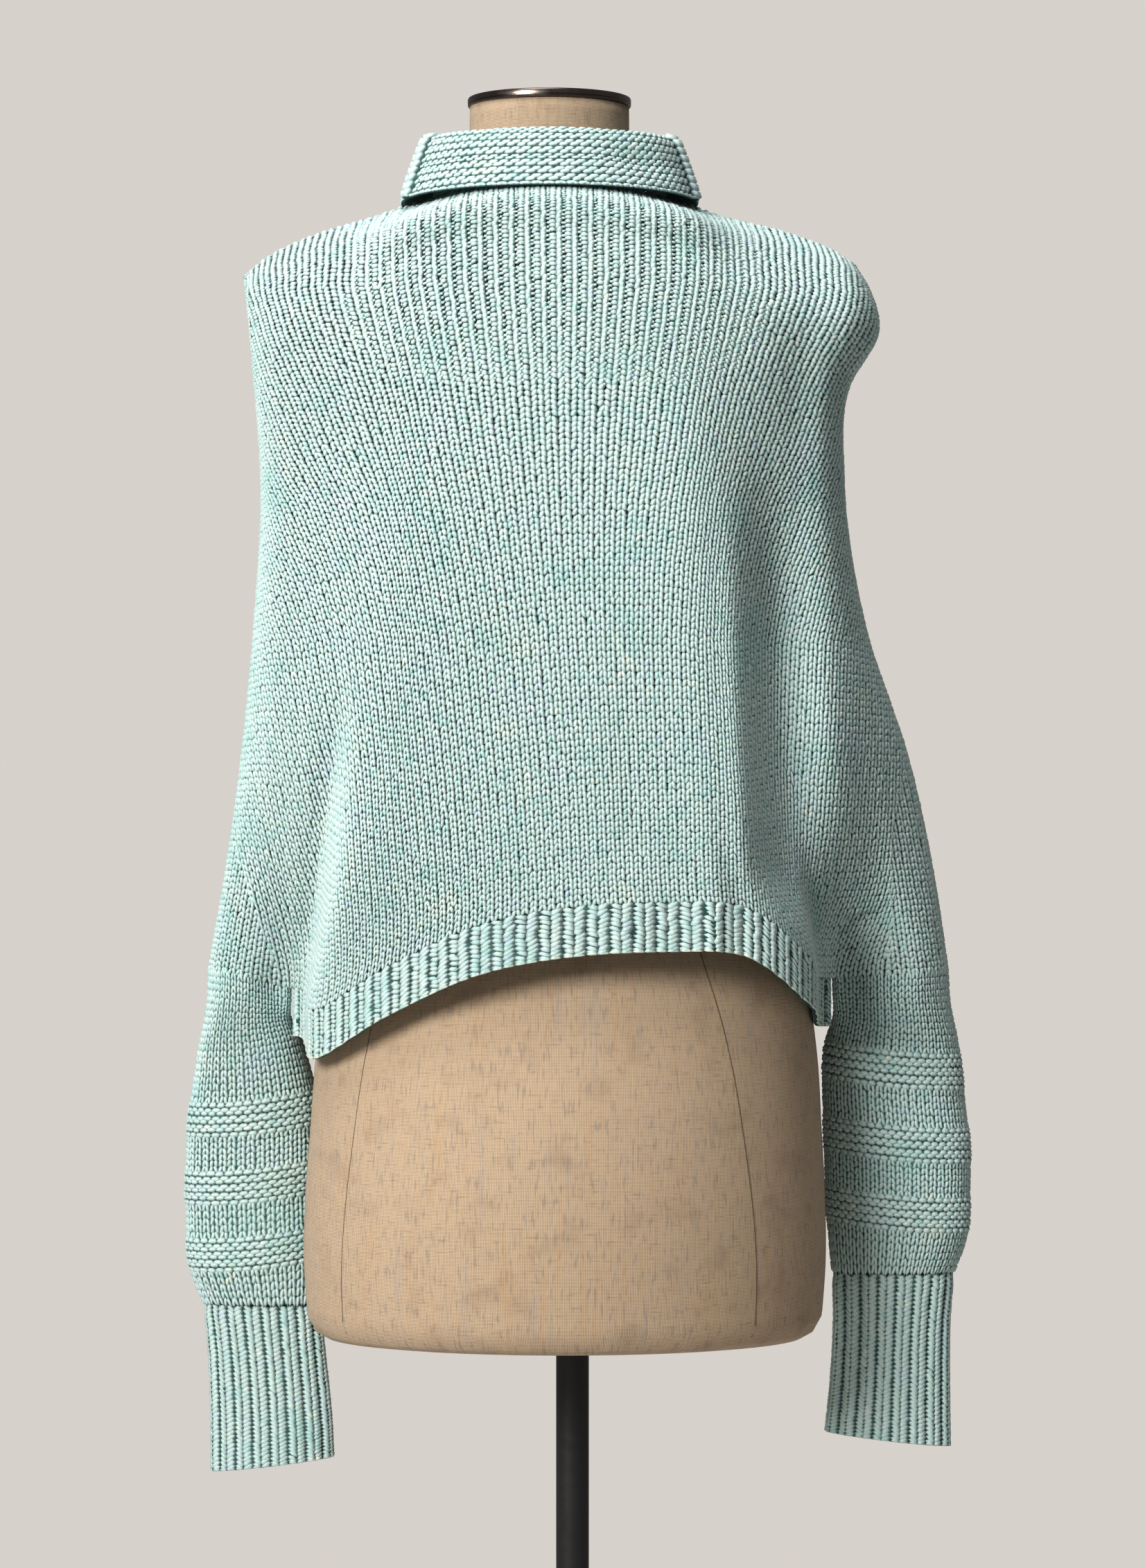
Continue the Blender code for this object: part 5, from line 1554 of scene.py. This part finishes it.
def build_stage(settings):
    """Floor, surround, lights and camera."""
    scene = bpy.context.scene
    turn = 2 * math.pi * np.arange(FLOOR_SIDES) / FLOOR_SIDES
    rim = np.stack([FLOOR_RADIUS * np.cos(turn), FLOOR_RADIUS * np.sin(turn), np.full(FLOOR_SIDES, FLOOR_HEIGHT)], 1)
    mesh = bpy.data.meshes.new("floor")
    mesh.from_pydata(rim.tolist(), [], [list(range(FLOOR_SIDES))])
    floor = bpy.data.objects.new("floor", mesh)
    scene.collection.objects.link(floor)
    material, _, _ = plain_material("pale_floor", (0.72, 0.69, 0.66), 0.8)
    mesh.materials.append(material)

    # The surround looks pale, and throws less light on the object than it looks.
    world = bpy.data.worlds.new("pale_surround")
    world.use_nodes = True
    tree = world.node_tree
    glow = tree.nodes["Background"]
    glow.inputs["Color"].default_value = (1.0, 0.975, 0.95, 1.0)
    glow.inputs["Strength"].default_value = settings.surround
    seen = tree.nodes.new("ShaderNodeBackground")
    seen.inputs["Color"].default_value = (0.722, 0.690, 0.651, 1.0)
    path = tree.nodes.new("ShaderNodeLightPath")
    mix = tree.nodes.new("ShaderNodeMixShader")
    tree.links.new(path.outputs["Is Camera Ray"], mix.inputs[0])
    tree.links.new(glow.outputs[0], mix.inputs[1])
    tree.links.new(seen.outputs[0], mix.inputs[2])
    tree.links.new(mix.outputs[0], tree.nodes["World Output"].inputs["Surface"])
    scene.world = world
    scene.view_settings.view_transform = "Standard"
    scene.view_settings.gamma = settings.picture_gamma

    lights = (("key", (-1.8, -2.6, 2.3), 1.4, settings.key_power, (1.0, 0.985, 0.96)),
              ("top", (-0.3, -0.6, 3.1), 1.4, settings.key_power * 0.22, (1.0, 1.0, 1.0)))
    for name, place, size, power, colour in lights:
        data = bpy.data.lights.new(name, "AREA")
        data.shape = "DISK"
        data.size = size
        data.energy = power
        data.color = colour
        lamp = bpy.data.objects.new(name, data)
        lamp.location = place
        aim = np.array((0.0, 0.0, 1.15)) - np.array(place)
        lamp.rotation_euler = (math.atan2(math.hypot(aim[0], aim[1]), -aim[2]), 0.0,
                               math.atan2(aim[1], aim[0]) - math.pi / 2)
        scene.collection.objects.link(lamp)

    data = bpy.data.cameras.new("camera")
    data.sensor_fit = "AUTO"
    data.sensor_width = 36.0
    data.lens = settings.focal_length
    camera = bpy.data.objects.new("camera", data)
    camera.location = (0.0, -settings.camera_distance, settings.camera_height)
    camera.rotation_euler = (math.pi / 2, 0.0, 0.0)
    scene.collection.objects.link(camera)
    scene.camera = camera


# ---------------------------------------------------------------- operators and panel
class SWEATER_OT_body(bpy.types.Operator):
    """Knit the back and the front"""
    bl_idname = "sweater.knit_body"
    bl_label = "Knit back and front"

    def execute(self, context):
        build_body(context.scene.sweater_yarn, make_materials(context.scene))
        return {"FINISHED"}


class SWEATER_OT_sleeves(bpy.types.Operator):
    """Knit the lower sleeves with their purl bands"""
    bl_idname = "sweater.knit_sleeves"
    bl_label = "Knit sleeves"

    def execute(self, context):
        materials = make_materials(context.scene)
        build_sleeve("left", SLEEVE_LEFT, BANDS_LEFT, context.scene.sweater_yarn, materials)
        build_sleeve("right", SLEEVE_RIGHT, BANDS_RIGHT, context.scene.sweater_yarn, materials)
        return {"FINISHED"}


class SWEATER_OT_cuffs(bpy.types.Operator):
    """Knit the ribbed cuffs"""
    bl_idname = "sweater.knit_cuffs"
    bl_label = "Knit cuffs"

    def execute(self, context):
        materials = make_materials(context.scene)
        build_cuff("left", CUFF_LEFT, context.scene.sweater_yarn, materials)
        build_cuff("right", CUFF_RIGHT, context.scene.sweater_yarn, materials)
        return {"FINISHED"}


class SWEATER_OT_hem(bpy.types.Operator):
    """Knit the ribbed hem"""
    bl_idname = "sweater.knit_hem"
    bl_label = "Knit hem"

    def execute(self, context):
        build_hem(context.scene.sweater_yarn, make_materials(context.scene))
        return {"FINISHED"}


class SWEATER_OT_collar(bpy.types.Operator):
    """Knit the fold-over collar"""
    bl_idname = "sweater.knit_collar"
    bl_label = "Knit collar"

    def execute(self, context):
        build_collar(context.scene.sweater_yarn, make_materials(context.scene))
        return {"FINISHED"}


class SWEATER_OT_form(bpy.types.Operator):
    """Cover the dress form with linen"""
    bl_idname = "sweater.cover_form"
    bl_label = "Cover dress form"

    def execute(self, context):
        materials = make_materials(context.scene)
        linen_cover(materials)
        linen_seams(materials)
        return {"FINISHED"}


class SWEATER_OT_stand(bpy.types.Operator):
    """Turn the neck cap, pole, socket and base"""
    bl_idname = "sweater.turn_stand"
    bl_label = "Turn cap and stand"

    def execute(self, context):
        build_stand(make_materials(context.scene))
        return {"FINISHED"}


class SWEATER_OT_stage(bpy.types.Operator):
    """Set up floor, light and camera"""
    bl_idname = "sweater.set_stage"
    bl_label = "Set stage"

    def execute(self, context):
        build_stage(context.scene.sweater_stage)
        return {"FINISHED"}


OPERATORS = (SWEATER_OT_form, SWEATER_OT_stand, SWEATER_OT_body, SWEATER_OT_sleeves, SWEATER_OT_cuffs,
             SWEATER_OT_hem, SWEATER_OT_collar, SWEATER_OT_stage)
SETTINGS = (("sweater_yarn", YarnSettings), ("sweater_form", FormSettings), ("sweater_stage", StageSettings))


class SWEATER_PT_panel(bpy.types.Panel):
    """Sweater, dress form and stage"""
    bl_idname = "SWEATER_PT_panel"
    bl_label = "Sweater on a dress form"
    bl_space_type = "VIEW_3D"
    bl_region_type = "UI"
    bl_category = "Sweater"

    def draw(self, context):
        layout = self.layout
        for name, group in SETTINGS:
            settings = getattr(context.scene, name)
            for key in group.__annotations__:
                layout.prop(settings, key)
        for operator in OPERATORS:
            layout.operator(operator.bl_idname)


def register():
    for name, group in SETTINGS:
        bpy.utils.register_class(group)
        setattr(bpy.types.Scene, name, PointerProperty(type=group))
    for operator in OPERATORS:
        bpy.utils.register_class(operator)
    bpy.utils.register_class(SWEATER_PT_panel)


def unregister():
    bpy.utils.unregister_class(SWEATER_PT_panel)
    for operator in reversed(OPERATORS):
        bpy.utils.unregister_class(operator)
    for name, group in reversed(SETTINGS):
        delattr(bpy.types.Scene, name)
        bpy.utils.unregister_class(group)


def main():
    register()
    bpy.ops.sweater.cover_form()
    bpy.ops.sweater.turn_stand()
    bpy.ops.sweater.knit_body()
    bpy.ops.sweater.knit_sleeves()
    bpy.ops.sweater.knit_cuffs()
    bpy.ops.sweater.knit_hem()
    bpy.ops.sweater.knit_collar()
    bpy.ops.sweater.set_stage()


if __name__ == "__main__":
    main()
